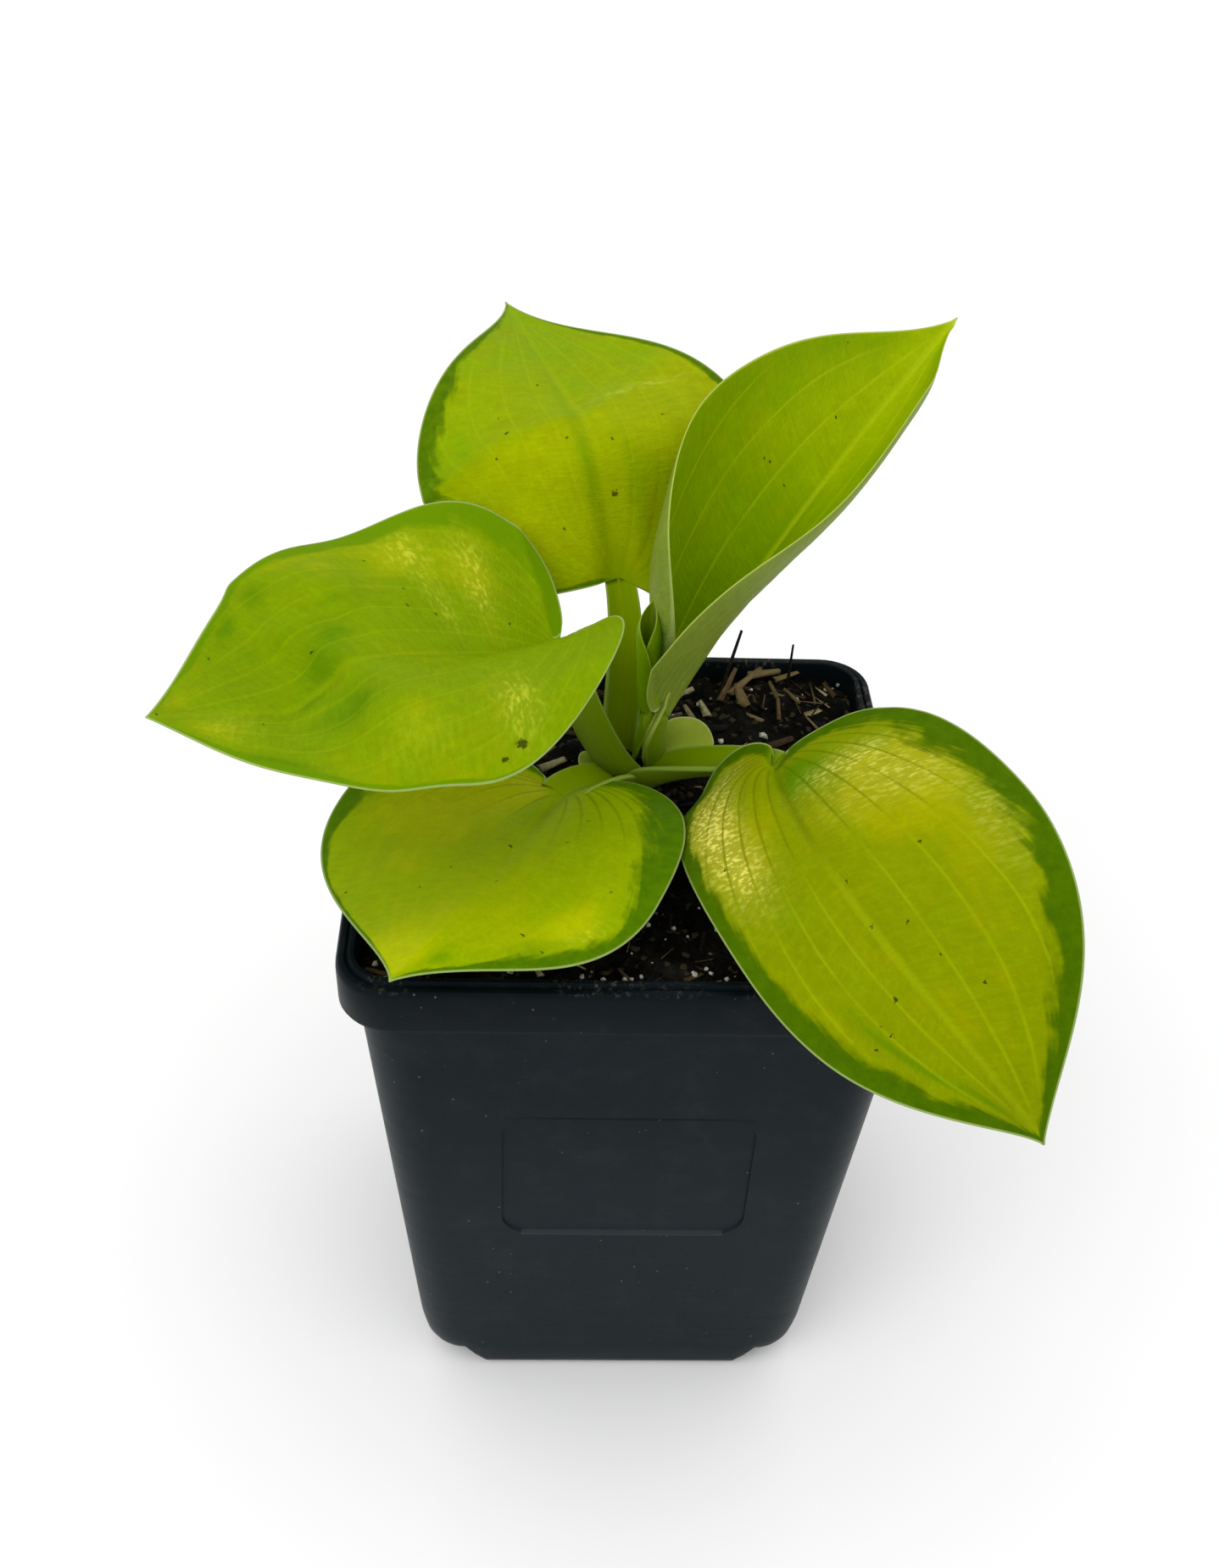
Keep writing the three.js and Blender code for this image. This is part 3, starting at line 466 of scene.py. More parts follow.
def evenPoints(points, count):
    lengths = [0.0]
    for a, b in zip(points, points[1:]):
        lengths.append(lengths[-1] + (b - a).length)
    found = []
    place = 0
    for i in range(count + 1):
        target = lengths[-1] * i / count
        while place < len(points) - 2 and lengths[place + 1] < target:
            place += 1
        share = clamp((target - lengths[place]) / max(lengths[place + 1] - lengths[place], 1e-9))
        found.append(points[place].lerp(points[place + 1], share))
    return found


# Half a blade laid flat: from the neck round the lobe, out to the widest place and in to the tip
def halfOutline(leaf, side):
    length, width, lobe, full = leaf["length"], side["width"], side["lobe"], side["full"]
    widest = side["widest"] * length
    shoulder = widest - (0.55 + full) * (widest + lobe)
    run = widest + 0.5 * (length - widest)
    tip = (length * (1 - leaf["tipPull"]), leaf["tipWidth"] * width)
    turns = [  # each curve with its two ends and the two handles between them
        ((0, side["neck"]), (-0.55 * lobe, side["inner"]), (-lobe, 0.18 * width), (-lobe, 0.4 * width)),
        ((-lobe, 0.4 * width), (-lobe, (0.74 + 0.8 * full) * width), (shoulder, width), (widest, width)),
        ((widest, width), (run, width), tip, (length, 0)),
    ]
    points = []
    for turn in turns:
        points += interpolate_bezier(*(Vector((*corner, 0)) for corner in turn), 90)
    return evenPoints(points, leaf["bladeRows"])


# How far sideways and up a curling sheet has come at a distance from the rib
def acrossSection(fold, bend, reach):
    bend = bend if abs(bend) > 1e-5 else 1e-5
    sideways = (math.sin(fold + bend * reach) - math.sin(fold)) / bend
    upward = (math.cos(fold) - math.cos(fold + bend * reach)) / bend
    return sideways, upward


def sheetNormal(sideAxis, upAxis, sign, angle):
    return upAxis * math.cos(angle) - sideAxis * (sign * math.sin(angle))


def curlAt(leaf, side, share, edge):
    rolled = max(edge, 0.05 * side["width"])
    curl = math.radians(lerp(side["curlBase"], side["curlTip"], share))
    return curl / lerp(side["width"], rolled, leaf["tube"])


def fromTable(table, share):
    for (s0, v0), (s1, v1) in zip(table, table[1:]):
        if share <= s1:
            return lerp(v0, v1, clamp((share - s0) / (s1 - s0)))
    return table[-1][1]


def patchSum(patches, across, along):
    return sum(strength * math.exp(-((across - atAcross) / wide) ** 2 - ((along - atAlong) / long) ** 2)
               for atAcross, atAlong, wide, long, strength in patches)


def channelDepth(leaf, fromRib, along):
    width = lerp(leaf["channelWidth"], sheet["channelTip"], along)
    return leaf["channel"] * bell(fromRib, width) * (1 - along) ** 1.5


# The stalk's own colour runs up the rib in a wedge
def stalkShare(leaf, fromRib, along):
    up = along * leaf["length"] / leaf["wedge"]
    return (1 - smoothstep(0, 1, up)) * (1 - smoothstep(0.3, 1, fromRib / (leaf["neck"] + 2) + 0.6 * up))


# A place on a blade, with what its finish needs to know there. Outward is 0 at the rib and 1 at the edge
def bladePlace(leaf, sign, outward, row):
    side = leaf["left"] if sign > 0 else leaf["right"]
    across = sign * outward
    along = row / leaf["bladeRows"]
    edge = side["outline"][row]
    rowStart = leaf["length"] * along ** sheet["rowSlant"]
    alongRib = lerp(rowStart, edge.x, outward)
    halfWidth = max(edge.y, sheet["leastHalf"])
    fromRib = halfWidth * outward
    share = clamp(alongRib / leaf["length"])
    place = share * sheet["spanSteps"]
    index = min(int(place), sheet["spanSteps"] - 1)
    ribAlong = ribDirection(leaf, share)
    point = leaf["rib"][index].lerp(leaf["rib"][index + 1], place - index) + ribAlong * min(alongRib, 0.0)
    run = alongRib / leaf["length"]
    heading = leaf["heading"] + leaf["sweep"] * run
    roll = leaf["roll"] + leaf["twist"] * run
    sideAxis, upAxis = sectionAxes(ribAlong, heading, roll)
    foldShare = max(share, 1e-6) ** leaf["foldPower"]
    fold = math.radians(lerp(side["foldBase"], side["foldTip"], foldShare))
    bend = curlAt(leaf, side, foldShare, edge.y)
    sideways, upward = acrossSection(fold, bend, fromRib)
    sideways -= side["closing"] * smoothstep(0, sheet["lobeRun"], -alongRib)  # the lobe leans over the stalk
    upward += side["lift"] * (min(alongRib, 0.0) / sheet["lobeLift"]) ** 2
    ripple = math.sin(math.tau * (leaf["waves"] * along + side["phase"]))
    upward += side["wave"] * (fromRib / side["width"]) ** 2 * ripple
    point = point + sideAxis * (sign * sideways) + upAxis * upward
    # The row runs slantwise to the edge, so a distance along it is longer than the true one
    before = side["outline"][max(row - 1, 0)]
    after = side["outline"][min(row + 1, leaf["bladeRows"])]
    edgeRun = (after - before).normalized()
    fromEdge = (1 - outward) * abs((edge.x - rowStart) * edgeRun.y - edge.y * edgeRun.x)
    # Veins leave the rib one after another, so the further out ones run off into the edge
    opened = lerp(sheet["firstVein"], 1, along)
    veinAt = outward * leaf["veins"] / opened
    gap = halfWidth * opened / leaf["veins"]
    toVein = abs(veinAt - max(round(veinAt), 1)) * gap
    groove = bell(toVein, sheet["veinWidth"]) * clamp(1.15 - outward) * (1 - along ** 3) * clamp(gap / 3)
    groove *= leaf["grooves"]
    thickness = lerp(sheet["edgeThick"], sheet["thick"], smoothstep(0, sheet["edgeRun"], fromEdge))
    ribShare = math.exp(-sheet["ribFall"] * (fromRib / leaf["neck"]) ** 2) * (1 - along) ** 2
    thickness += 0.5 * groove + leaf["neckThickness"] * ribShare
    tone = leaf["tone"] + patchSum(leaf["tones"], across, along)
    for at, slope, half, strength in leaf["steps"]:
        tone += strength * smoothstep(-half, half, along - at - slope * across)
    values = dict(
        veinAt=sign * veinAt, veinGap=gap, fromRib=fromRib, fromEdge=fromEdge,
        alongBlade=along * leaf["length"],
        band=fromEdge / max(fromTable(leaf["margins"]["left" if sign > 0 else "right"], along), 0.05),
        tone=tone, glint=patchSum(leaf["glints"], across, along), stalk=stalkShare(leaf, fromRib, along),
        thickness=thickness,
    )
    inside = smoothstep(0, sheet["reliefFromEdge"], fromEdge)
    pucker = sum(height * noise.noise(point / size) for size, height in sheet["puckers"])
    relief = leaf["crinkle"] * pucker * smoothstep(0, sheet["puckerFromRib"], fromRib) * inside
    relief += patchSum(leaf["dents"], across, along) - groove - channelDepth(leaf, fromRib, along)
    for at, slope, half, height in leaf["creases"]:
        relief += height * bell(along - at - slope * across, half) * inside
    return point + upAxis * relief, sheetNormal(sideAxis, upAxis, sign, fold + bend * fromRib), values


# The same for a place on the stalk. Up is 0 at its foot and 1 at the neck
def stalkPlace(leaf, sign, outward, up):
    side = leaf["left"] if sign > 0 else leaf["right"]
    index = min(int(up * leaf["stalkRows"] + 0.5), leaf["stalkRows"])
    point = leaf["stalkLine"][index]
    after = leaf["stalkLine"][min(index + 1, leaf["stalkRows"])]
    before = leaf["stalkLine"][max(index - 1, 0)]
    turnBack = (leaf["footTurn"] - leaf["heading"] + 180) % 360 - 180
    heading = leaf["heading"] + turnBack * (1 - up)
    sideAxis, upAxis = sectionAxes((after - before).normalized(), heading, leaf["roll"] * up)
    half = lerp(leaf["footHalf"], side["neck"], up) + leaf["swell"] * math.sin(math.pi * up)
    fromRib = half * outward
    fold = math.radians(lerp(leaf["footFold"], side["foldBase"], up))
    footBend = math.radians(leaf["footCurl"]) / leaf["footHalf"]
    bend = lerp(footBend, curlAt(leaf, side, 0, side["neck"]), up)
    sideways, upward = acrossSection(fold, bend, fromRib)
    upward -= channelDepth(leaf, fromRib, 0) * smoothstep(0.4, 1, up)
    point = point + sideAxis * (sign * sideways) + upAxis * upward
    ribThickness = lerp(leaf["footThickness"], leaf["neckThickness"], up)
    values = dict(
        veinAt=sign * outward * leaf["veins"], veinGap=half / leaf["veins"], fromRib=fromRib,
        fromEdge=half * (1 - outward), alongBlade=-(1 - up) * leaf["stalkLength"],
        band=3.0, tone=leaf["tone"], glint=0.0,
        stalk=lerp(1, stalkShare(leaf, fromRib, 0), smoothstep(0.6, 1, up)),
        thickness=lerp(sheet["footThick"], sheet["thick"], up)
        + ribThickness * math.exp(-sheet["ribFall"] * outward * outward),
    )
    return point, sheetNormal(sideAxis, upAxis, sign, fold + bend * fromRib), values


def readyLeaf(given):
    leaf = {**usualLeaf, **given}
    leaf["rib"] = runRib(leaf)
    for name in ("left", "right"):
        side = {**usualSide, "neck": leaf["neck"], **leaf[name]}
        side.setdefault("inner", side["neck"])
        leaf[name] = {**side, "outline": halfOutline(leaf, side)}
    foot = Vector((*leaf["foot"], leaf["footLevel"]))
    base = Vector(leaf["base"])
    neckRise = leaf["rise"] if leaf["neckRise"] is None else leaf["neckRise"]
    footHandle = foot + pointing(leaf["footRise"], leaf["footTurn"]) * leaf["footHandle"]
    neckHandle = base - pointing(neckRise, leaf["heading"]) * leaf["neckHandle"]
    line = interpolate_bezier(foot, footHandle, neckHandle, base, leaf["stalkRows"] + 1)
    leaf["stalkLine"] = line
    leaf["stalkLength"] = sum((b - a).length for a, b in zip(line, line[1:]))
    return leaf


# What each point of the grid tells the finish
leafValues = ("veinAt", "veinGap", "fromRib", "fromEdge", "alongBlade", "band", "tone", "glint", "stalk")


def buildLeaf(leaf, materials):
    rows = 1 + leaf["stalkRows"] + leaf["bladeRows"]  # the first row is sunk below the foot
    bm = bmesh.new()
    bmesh.ops.create_grid(bm, x_segments=2 * leaf["columns"], y_segments=rows, size=1)
    layers = {name: bm.verts.layers.float.new(name) for name in leafValues}
    inward = bm.verts.layers.float_vector.new("inward")
    for vert in bm.verts:
        sign = 1 if vert.co.x >= 0 else -1
        outward = abs(vert.co.x)
        row = round((vert.co.y + 1) / 2 * rows) - 1
        if row < leaf["stalkRows"]:
            vert.co, normal, values = stalkPlace(leaf, sign, outward, max(row, 0) / leaf["stalkRows"])
            if row < 0:
                vert.co.z -= leaf["sunk"]
        else:
            vert.co, normal, values = bladePlace(leaf, sign, outward, row - leaf["stalkRows"])
        vert[inward] = normal * -values["thickness"]
        for name, layer in layers.items():
            vert[layer] = values[name]
    copied = bmesh.ops.extrude_face_region(bm, geom=bm.faces[:], use_keep_orig=True)["geom"]
    for item in copied:
        if isinstance(item, bmesh.types.BMVert):
            item.co += item[inward]
        elif isinstance(item, bmesh.types.BMFace):
            item.material_index = 1
    bm.verts.layers.float_vector.remove(inward)
    bmesh.ops.recalc_face_normals(bm, faces=bm.faces[:])
    return finishPiece(bm, leaf["name"], materials, [leaf["node"]])


# The leaf finish reads what the leaf's grid knows: how far each point is from rib, veins and edge
def makeLeafFinish():
    colours = ["Gold", "Yellow", "Green", "Margin", "Edge", "Pale Vein", "Dark Vein", "Glint", "Stalk"]
    measures = ["Vein Show", "Vein Reach", "Pale From"]
    tree, given, result = newGroup("leafFinish", dict(Color=colours, Float=measures),
                                   dict(Color=["Colour"], Float=["Roughness", "Height"]))
    where = objectPlace(tree)
    known = {name: surfaceValue(tree, name) for name in leafValues}
    veinAt, alongBlade = known["veinAt"], known["alongBlade"]
    areas = cloud(tree, where, 30.0, 3.0)
    blotches = cloud(tree, where, 130.0, 3.0, 0.55)
    mottle = cloud(tree, where, 420.0, 4.0, 0.6)

    def veinCloud(across, along, shift, detail, roughness):
        at = spread(tree, times(tree, veinAt, across), times(tree, alongBlade, along), shift)
        return cloud(tree, at, 1.0, detail, roughness)

    # Streaks run along the veins, and wrinkles and finer dashes run across from vein to vein
    streaks = veinCloud(3.2, 0.09, 0.0, 4.0, 0.55)
    wrinkles = veinCloud(1.3, 1.1, 3.0, 4.0, 0.6)
    dashes = veinCloud(3.0, 1.5, 7.0, 3.0, 0.55)
    # The finest veins make a net of small cells
    cellPlace = spread(tree, known["fromRib"], times(tree, alongBlade, 0.6), calc(tree, "SIGN", veinAt))
    toWall = cellsAt(tree, cellPlace, 0.9, "DISTANCE_TO_EDGE")["Distance"]
    net = times(tree, fade(tree, toWall, 0.02, 0.16, 1.0, 0.0), fade(tree, mottle, 0.4, 0.6))
    # Ground colour from gold through yellow-green to green, following the tone, which holds
    # painted shade in folds and painted sheen round the glints
    tone = vary(tree, known["tone"], (areas, 2.8), (blotches, 1.6), (streaks, 0.9), (mottle, 0.8))
    ground = mixColour(tree, fade(tree, tone, -1.2, 0.0), given["Gold"], given["Yellow"])
    ground = mixColour(tree, fade(tree, tone, 0.0, 1.2), ground, given["Green"])
    light = scaled(tree, plus(tree, mottle, wrinkles), 0.24, 0.76)
    light = scaled(tree, net, 0.07, vary(tree, light, (blotches, 0.3), (dashes, 0.16)))
    ground = shaded(tree, ground, light)
    # Veins are as wide all over the blade, dark near the neck and pale further on
    fraction = calc(tree, "ABSOLUTE", minus(tree, veinAt, calc(tree, "ROUND", veinAt)))
    veins = times(tree, fade(tree, times(tree, fraction, known["veinGap"]), 0.06, 0.45, 1.0, 0.0),
                  fade(tree, known["fromEdge"], 1.0, 7.0), fade(tree, streaks, 0.3, 0.55, 0.45, 1.0))
    rib = fade(tree, known["fromRib"], 0.3, 1.3, 0.8, 0.0)
    pale = fade(tree, minus(tree, alongBlade, given["Pale From"]), -10.0, 10.0)
    reach = fade(tree, minus(tree, alongBlade, given["Vein Reach"]), -24.0, 8.0, 1.0, 0.0)
    blade = minus(tree, 1.0, known["stalk"])
    lines = calc(tree, "MAXIMUM", veins, rib)
    veinShow = times(tree, lines, given["Vein Show"], scaled(tree, pale, -0.8, 1.8), reach, blade)
    ground = mixColour(tree, veinShow, ground, mixColour(tree, pale, given["Dark Vein"], given["Pale Vein"]))
    # Glinting patches are broken up by the wrinkles and stop at the veins
    broken = plus(tree, times(tree, dashes, 1.6), times(tree, wrinkles, 0.5), times(tree, blotches, 0.4))
    glints = scaled(tree, fade(tree, broken, 1.2, 1.5), 0.84, 0.16)
    glints = times(tree, glints, known["glint"], scaled(tree, veins, -0.8, 1.0))
    ground = mixColour(tree, glints, ground, given["Glint"])
    # Dark margin with a streaky inner border
    border = vary(tree, known["band"], (streaks, 1.2), (blotches, 1.4), (areas, 1.0))
    lighterMargin = mixColour(tree, 0.25, given["Margin"], given["Green"])
    margin = mixColour(tree, fade(tree, mottle, 0.3, 0.7), given["Margin"], lighterMargin)
    ground = mixColour(tree, fade(tree, border, 0.6, 1.15, 0.95, 0.0), ground, margin)
    # The stalk's colour, yellower along the rib, and last the thin pale edge
    yellower = fade(tree, known["fromRib"], 0.0, 3.5, 0.55, 0.0)
    stalk = mixColour(tree, yellower, given["Stalk"], given["Yellow"])
    stalk = shaded(tree, stalk, scaled(tree, streaks, 0.3, 0.85))
    ground = mixColour(tree, times(tree, known["stalk"], 0.9), ground, stalk)
    edge = fade(tree, known["fromEdge"], 0.192, 0.448, 0.75, 0.0)
    edge = times(tree, edge, fade(tree, known["stalk"], 0.0, 1.0, 1.0, 0.45))
    tree.links.new(mixColour(tree, edge, ground, given["Edge"]), result["Colour"])
    rough = scaled(tree, mottle, 0.2, 0.34)
    tree.links.new(minus(tree, rough, times(tree, glints, 0.08)), result["Roughness"])
    # The relief fades where the veins crowd together at the neck
    relief = scaled(tree, net, -0.12, plus(tree, times(tree, wrinkles, 0.8), times(tree, dashes, 0.6)))
    relief = times(tree, relief, blade, fade(tree, known["veinGap"], 1.0, 3.5))
    tree.links.new(scaled(tree, mottle, 0.25, relief), result["Height"])
    return tree


# A small dark spot at a place on the piece, with a ragged outline
def makeSpot():
    tree, given, result = newGroup("spot", dict(Vector=["Centre"], Float=["Size"]), dict(Float=["Mask"]))
    where = objectPlace(tree)
    inputs = {"Vector": where, "Scale": 1500.0, "Detail": 2.0}
    ragged = makeNode(tree, "ShaderNodeTexNoise", inputs).outputs["Color"]
    ragged = vectorCalc(tree, "SUBTRACT", ragged, (0.5, 0.5, 0.5))[0]
    moved = vectorCalc(tree, "MULTIPLY_ADD", ragged, (0.0016, 0.0016, 0.0016), where)[0]
    far = vectorCalc(tree, "DISTANCE", moved, given["Centre"])["Value"]
    tree.links.new(fade(tree, calc(tree, "DIVIDE", far, given["Size"]), 0.6, 1.0, 1.0, 0.0), result["Mask"])
    return tree


leafFinish = makeLeafFinish()
spot = makeSpot()

# Colours are sRGB, 0 to 255
usualColours = {"Edge": (158, 176, 104), "Pale Vein": (172, 188, 14), "Dark Vein": (76, 96, 0),
                "Glint": (228, 218, 104), "Stalk": (122, 152, 0)}
leafColours = dict(
    left=dict(Gold=(142, 155, 0), Yellow=(114, 140, 0), Green=(88, 124, 0), Margin=(97, 132, 0),
              Glint=(216, 210, 66)),
    back=dict(Gold=(146, 158, 0), Yellow=(132, 152, 0), Green=(114, 146, 0), Margin=(64, 98, 0),
              Stalk=(118, 146, 0)),
    upright=dict(Gold=(148, 168, 0), Yellow=(124, 155, 0), Green=(110, 146, 0), Margin=(100, 136, 0),
                 Edge=(184, 194, 92)),
    right=dict(Gold=(146, 150, 0), Yellow=(120, 135, 0), Green=(90, 124, 0), Margin=(58, 90, 0)),
    front=dict(Gold=(170, 180, 0), Yellow=(140, 162, 0), Green=(114, 147, 0), Margin=(64, 104, 0),
               Stalk=(130, 156, 0), Glint=(206, 208, 40)),
    young=dict(Gold=(128, 158, 0), Yellow=(112, 146, 0), Green=(84, 122, 0), Margin=(84, 122, 0),
               Edge=(150, 176, 60)),
    scale=dict(Gold=(172, 180, 70), Yellow=(156, 172, 60), Green=(140, 162, 50), Margin=(140, 162, 50),
               Edge=(182, 190, 124), Stalk=(122, 142, 36)),
    under=dict(Gold=(140, 152, 58), Yellow=(126, 144, 52), Green=(108, 132, 40), Margin=(98, 124, 32),
               Stalk=(112, 140, 0)),
)
leafSurface = dict(relief=0.0002, backVeins=0.35, speck=(46, 44, 8), speckStrength=0.85,
                   tint=(1, 1, 0.35, 1), glow=(0.0012, 0.002, 0.0001))  # light goes this far in, in metres


def leafMaterial(name, colours, leaf, veinShow, specks=()):
    material, tree, shader = newMaterial(
        name, Subsurface_Weight=0.05, Subsurface_Radius=leafSurface["glow"], Subsurface_Scale=1.0,
        Specular_IOR_Level=0.018, Specular_Tint=leafSurface["tint"])
    colours = {label: srgb(*parts) for label, parts in {**usualColours, **leafColours[colours]}.items()}
    look = placeGroup(tree, leafFinish, {**colours, "Vein Show": veinShow, "Vein Reach": leaf["veinReach"],
                                         "Pale From": leaf["paleFrom"]})
    colour = look["Colour"]
    for across, along, size in specks:
        row = round(along * leaf["bladeRows"])
        centre = bladePlace(leaf, 1 if across >= 0 else -1, abs(across), row)[0] * mm
        mask = placeGroup(tree, spot, {"Centre": centre, "Size": size * mm})["Mask"]
        mask = times(tree, mask, leafSurface["speckStrength"])
        colour = mixColour(tree, mask, colour, srgb(*leafSurface["speck"]))
    wireUp(tree, shader, colour, look["Roughness"], look["Height"], leafSurface["relief"])
    return material


for given in (leftLeaf, backLeaf, uprightLeaf, rightLeaf, frontLeaf, youngLeaf, rightScale, leftScale):
    leaf = readyLeaf(given)
    face = leafMaterial(leaf["name"] + "Face", leaf["look"], leaf, leaf["veinShow"], leaf["specks"])
    backLook = leaf["look"] if leaf["look"] in ("scale", "young") else "under"
    back = leafMaterial(leaf["name"] + "Back", backLook, leaf, leafSurface["backVeins"])
    buildLeaf(leaf, [face, back])
    print("leaf built:", leaf["name"])

# Pot. A half width runs from the axis to a flat wall
pot = dict(
    height=131, rimHalf=55, bodyTopHalf=52, bodyBottomHalf=41.75, bandBottom=119.5,
    bodyTopCorner=11, bodyBottomCorner=9, wall=1.6, floor=2, cornerRaise=5, footShare=0.82,
    cornerSteps=10, wallSteps=10, stepPower=0.7, drainRadius=4.5, drainPlace=30,
    panelLeft=-24.5, panelRight=25.5, panelBottom=52.7, panelTop=92, panelCorner=6, panelDepth=0.5,
    panelRunOut=0.7,
    # Rings of the rim: in from its half width, up from the band's lower edge, corner radius
    underBand=((0.9, 0.25, 10.4), (0.4, 0.6, 10.2), (0.15, 1.4, 10)),
    # The same, but down from the pot's top
    rimLip=((0, 2.4, 10), (0.1, 1.4, 10), (0.45, 0.85, 9.8), (0.9, 0.7, 9.4), (1.55, 0.75, 8.8),
            (1.95, 1.2, 8.5), (2.2, 0.6, 8.3), (2.45, 0.1, 8), (2.9, 0, 7.6), (3.4, 0.15, 7.2),
            (3.6, 0.8, 7.1), (3.7, 2.5, 7.1)),
)


def bodyHalfAt(z):
    return lerp(pot["bodyBottomHalf"], pot["bodyTopHalf"], z / pot["bandBottom"])


def bodyCornerAt(z):
    return lerp(pot["bodyBottomCorner"], pot["bodyTopCorner"], z / pot["bandBottom"])


def bodyRing(z, raised=0):
    return bodyHalfAt(z), z, bodyCornerAt(z), raised


# A quarter of a rounded square: along one wall's half, round the corner and along the next wall's.
# With each point comes how far the raised base lifts it there
def squarePoint(half, corner, step):
    flat = half - corner
    wall, bend, power = pot["wallSteps"], pot["cornerSteps"], pot["stepPower"]
    if step <= wall:
        return Vector((half, flat * (step / wall) ** power, 0)), smoothstep(pot["footShare"], 1, step / wall)
    if step <= wall + bend:
        turn = (step - wall) / bend * math.pi / 2
        return Vector((flat + corner * math.cos(turn), flat + corner * math.sin(turn), 0)), 1.0
    back = (2 * wall + bend - step) / wall
    return Vector((flat * back ** power, half, 0)), smoothstep(pot["footShare"], 1, back)


# Each ring is a half width, a height, a corner radius and how much of the base's raise it takes
def potRings():
    top, band, bottom, floor = pot["height"], pot["bandBottom"], pot["bodyBottomHalf"], pot["floor"]
    foot = [(0, 0, 0, 0), (24, 0, 4, 0), (33.5, 0, 6, 1), (bottom - 2.6, 0, 7, 1), (bottom - 1.2, 0.35, 8, 1),
            (bottom - 0.4, 1.4, 8.6, 1), (bodyHalfAt(3), 3, 9, 1)]
    body = [bodyRing(8, 0.5), bodyRing(14), bodyRing(46), bodyRing(98), bodyRing(band - 3),
            (bodyHalfAt(band - 0.6), band - 0.6, bodyCornerAt(band), 0),
            (bodyHalfAt(band) + 0.35, band, 10.9, 0)]
    rim = [(pot["rimHalf"] - inset, band + rise, corner, 0) for inset, rise, corner in pot["underBand"]]
    rim += [(pot["rimHalf"] - inset, top - drop, corner, 0) for inset, drop, corner in pot["rimLip"]]
    inside = [(bodyHalfAt(band) - pot["wall"], band, 9.4, 0), (bodyHalfAt(16) - pot["wall"], 16, 7.6, 0),
              (bodyHalfAt(6) - pot["wall"], 6, 7.2, 1), (bottom - 3.6, floor, 6, 1), (33, floor, 6, 1),
              (24, floor, 4, 0), (0, floor, 0, 0)]
    return foot + body + rim + inside


def buildPot(material):
    rings = potRings()
    quarter = 2 * pot["wallSteps"] + pot["cornerSteps"]
    bm = bmesh.new()
    bmesh.ops.create_grid(bm, x_segments=4 * quarter, y_segments=len(rings) - 1, size=1)
    for vert in bm.verts:
        column = round((vert.co.x + 1) / 2 * 4 * quarter) % (4 * quarter)
        half, z, corner, raised = rings[round((vert.co.y + 1) / 2 * (len(rings) - 1))]
        point, lifted = squarePoint(half, corner, column % quarter)
        point = Matrix.Rotation(math.pi / 2 * (column // quarter), 3, "Z") @ point
        vert.co = point + Vector((0, 0, z + pot["cornerRaise"] * raised * lifted))
    bmesh.ops.remove_doubles(bm, verts=bm.verts[:], dist=0.001)
    bmesh.ops.recalc_face_normals(bm, faces=bm.faces[:])
    body = finishPiece(bm, "nurseryPot", [material], ["pot"])
    cutOut(body, panelCutter())
    for x in (-pot["drainPlace"], pot["drainPlace"]):
        for y in (-pot["drainPlace"], pot["drainPlace"]):
            hole = bmesh.new()
            bmesh.ops.create_cone(hole, cap_ends=True, segments=28, radius1=pot["drainRadius"],
                                  radius2=pot["drainRadius"], depth=30, matrix=Matrix.Translation((x, y, 0)))
            cutOut(body, hole)
    body.data.shade_smooth()
    body.data.set_sharp_from_angle(angle=math.radians(32))
    return body


# The label panel: a rounded rectangle a little sunk into the leaning front wall
def panelCutter():
    slope = math.atan2(pot["bodyTopHalf"] - pot["bodyBottomHalf"], pot["bandBottom"])
    middle = (pot["panelBottom"] + pot["panelTop"]) / 2
    centre = (pot["panelLeft"] + pot["panelRight"]) / 2
    depth, corner = pot["panelDepth"], pot["panelCorner"]
    width = pot["panelRight"] - pot["panelLeft"]
    tall = (pot["panelTop"] - pot["panelBottom"]) / math.cos(slope)
    bm = bmesh.new()
    bmesh.ops.create_cube(bm, size=1)
    bmesh.ops.scale(bm, vec=(width, 2 * depth, tall), verts=bm.verts)
    upright = [edge for edge in bm.edges if abs(edge.verts[0].co.y - edge.verts[1].co.y) > depth]
    bmesh.ops.bevel(bm, geom=upright, offset=corner, segments=8, profile=0.5, affect="EDGES", material=-1)
    for vert in bm.verts:  # the floor of the panel runs out gently at its foot
        low = clamp(-vert.co.z - tall / 2 + corner, 0, corner) / corner
        vert.co.z += math.copysign(pot["panelRunOut"] * low, vert.co.y)
    bmesh.ops.rotate(bm, matrix=Matrix.Rotation(slope, 3, "X"), verts=bm.verts)
    bmesh.ops.translate(bm, vec=(centre, -bodyHalfAt(middle), middle), verts=bm.verts)
    return bm


def cutOut(body, bm):
    bmesh.ops.scale(bm, vec=(mm, mm, mm), verts=bm.verts)
    cutter = linked("cutter", meshFrom(bm, "cutter"))
    cut = body.modifiers.new("cut", "BOOLEAN")
    cut.object = cutter
    cut.operation = "DIFFERENCE"
    cut.solver = "EXACT"
    bpy.context.view_layer.update()
    old = body.data
    body.data = bpy.data.meshes.new_from_object(body.evaluated_get(bpy.context.evaluated_depsgraph_get()))
    body.modifiers.clear()
    bpy.data.objects.remove(cutter)
    bpy.data.meshes.remove(old)


# Stripes on the front wall, in metres: a painted shadow under the label panel's top edge, and painted light
# along its foot
panelShadeAndLight = (
    dict(lower=(0.0906, 0.0911), upper=(0.0918, 0.0922), reach=0.0245, ends=0.3, strength=0.85,
         colour=(1, 2, 3)),
    dict(lower=(0.0521, 0.0525), upper=(0.0533, 0.0538), reach=0.021, ends=1.0, strength=0.7,
         colour=(48, 56, 59)),
)


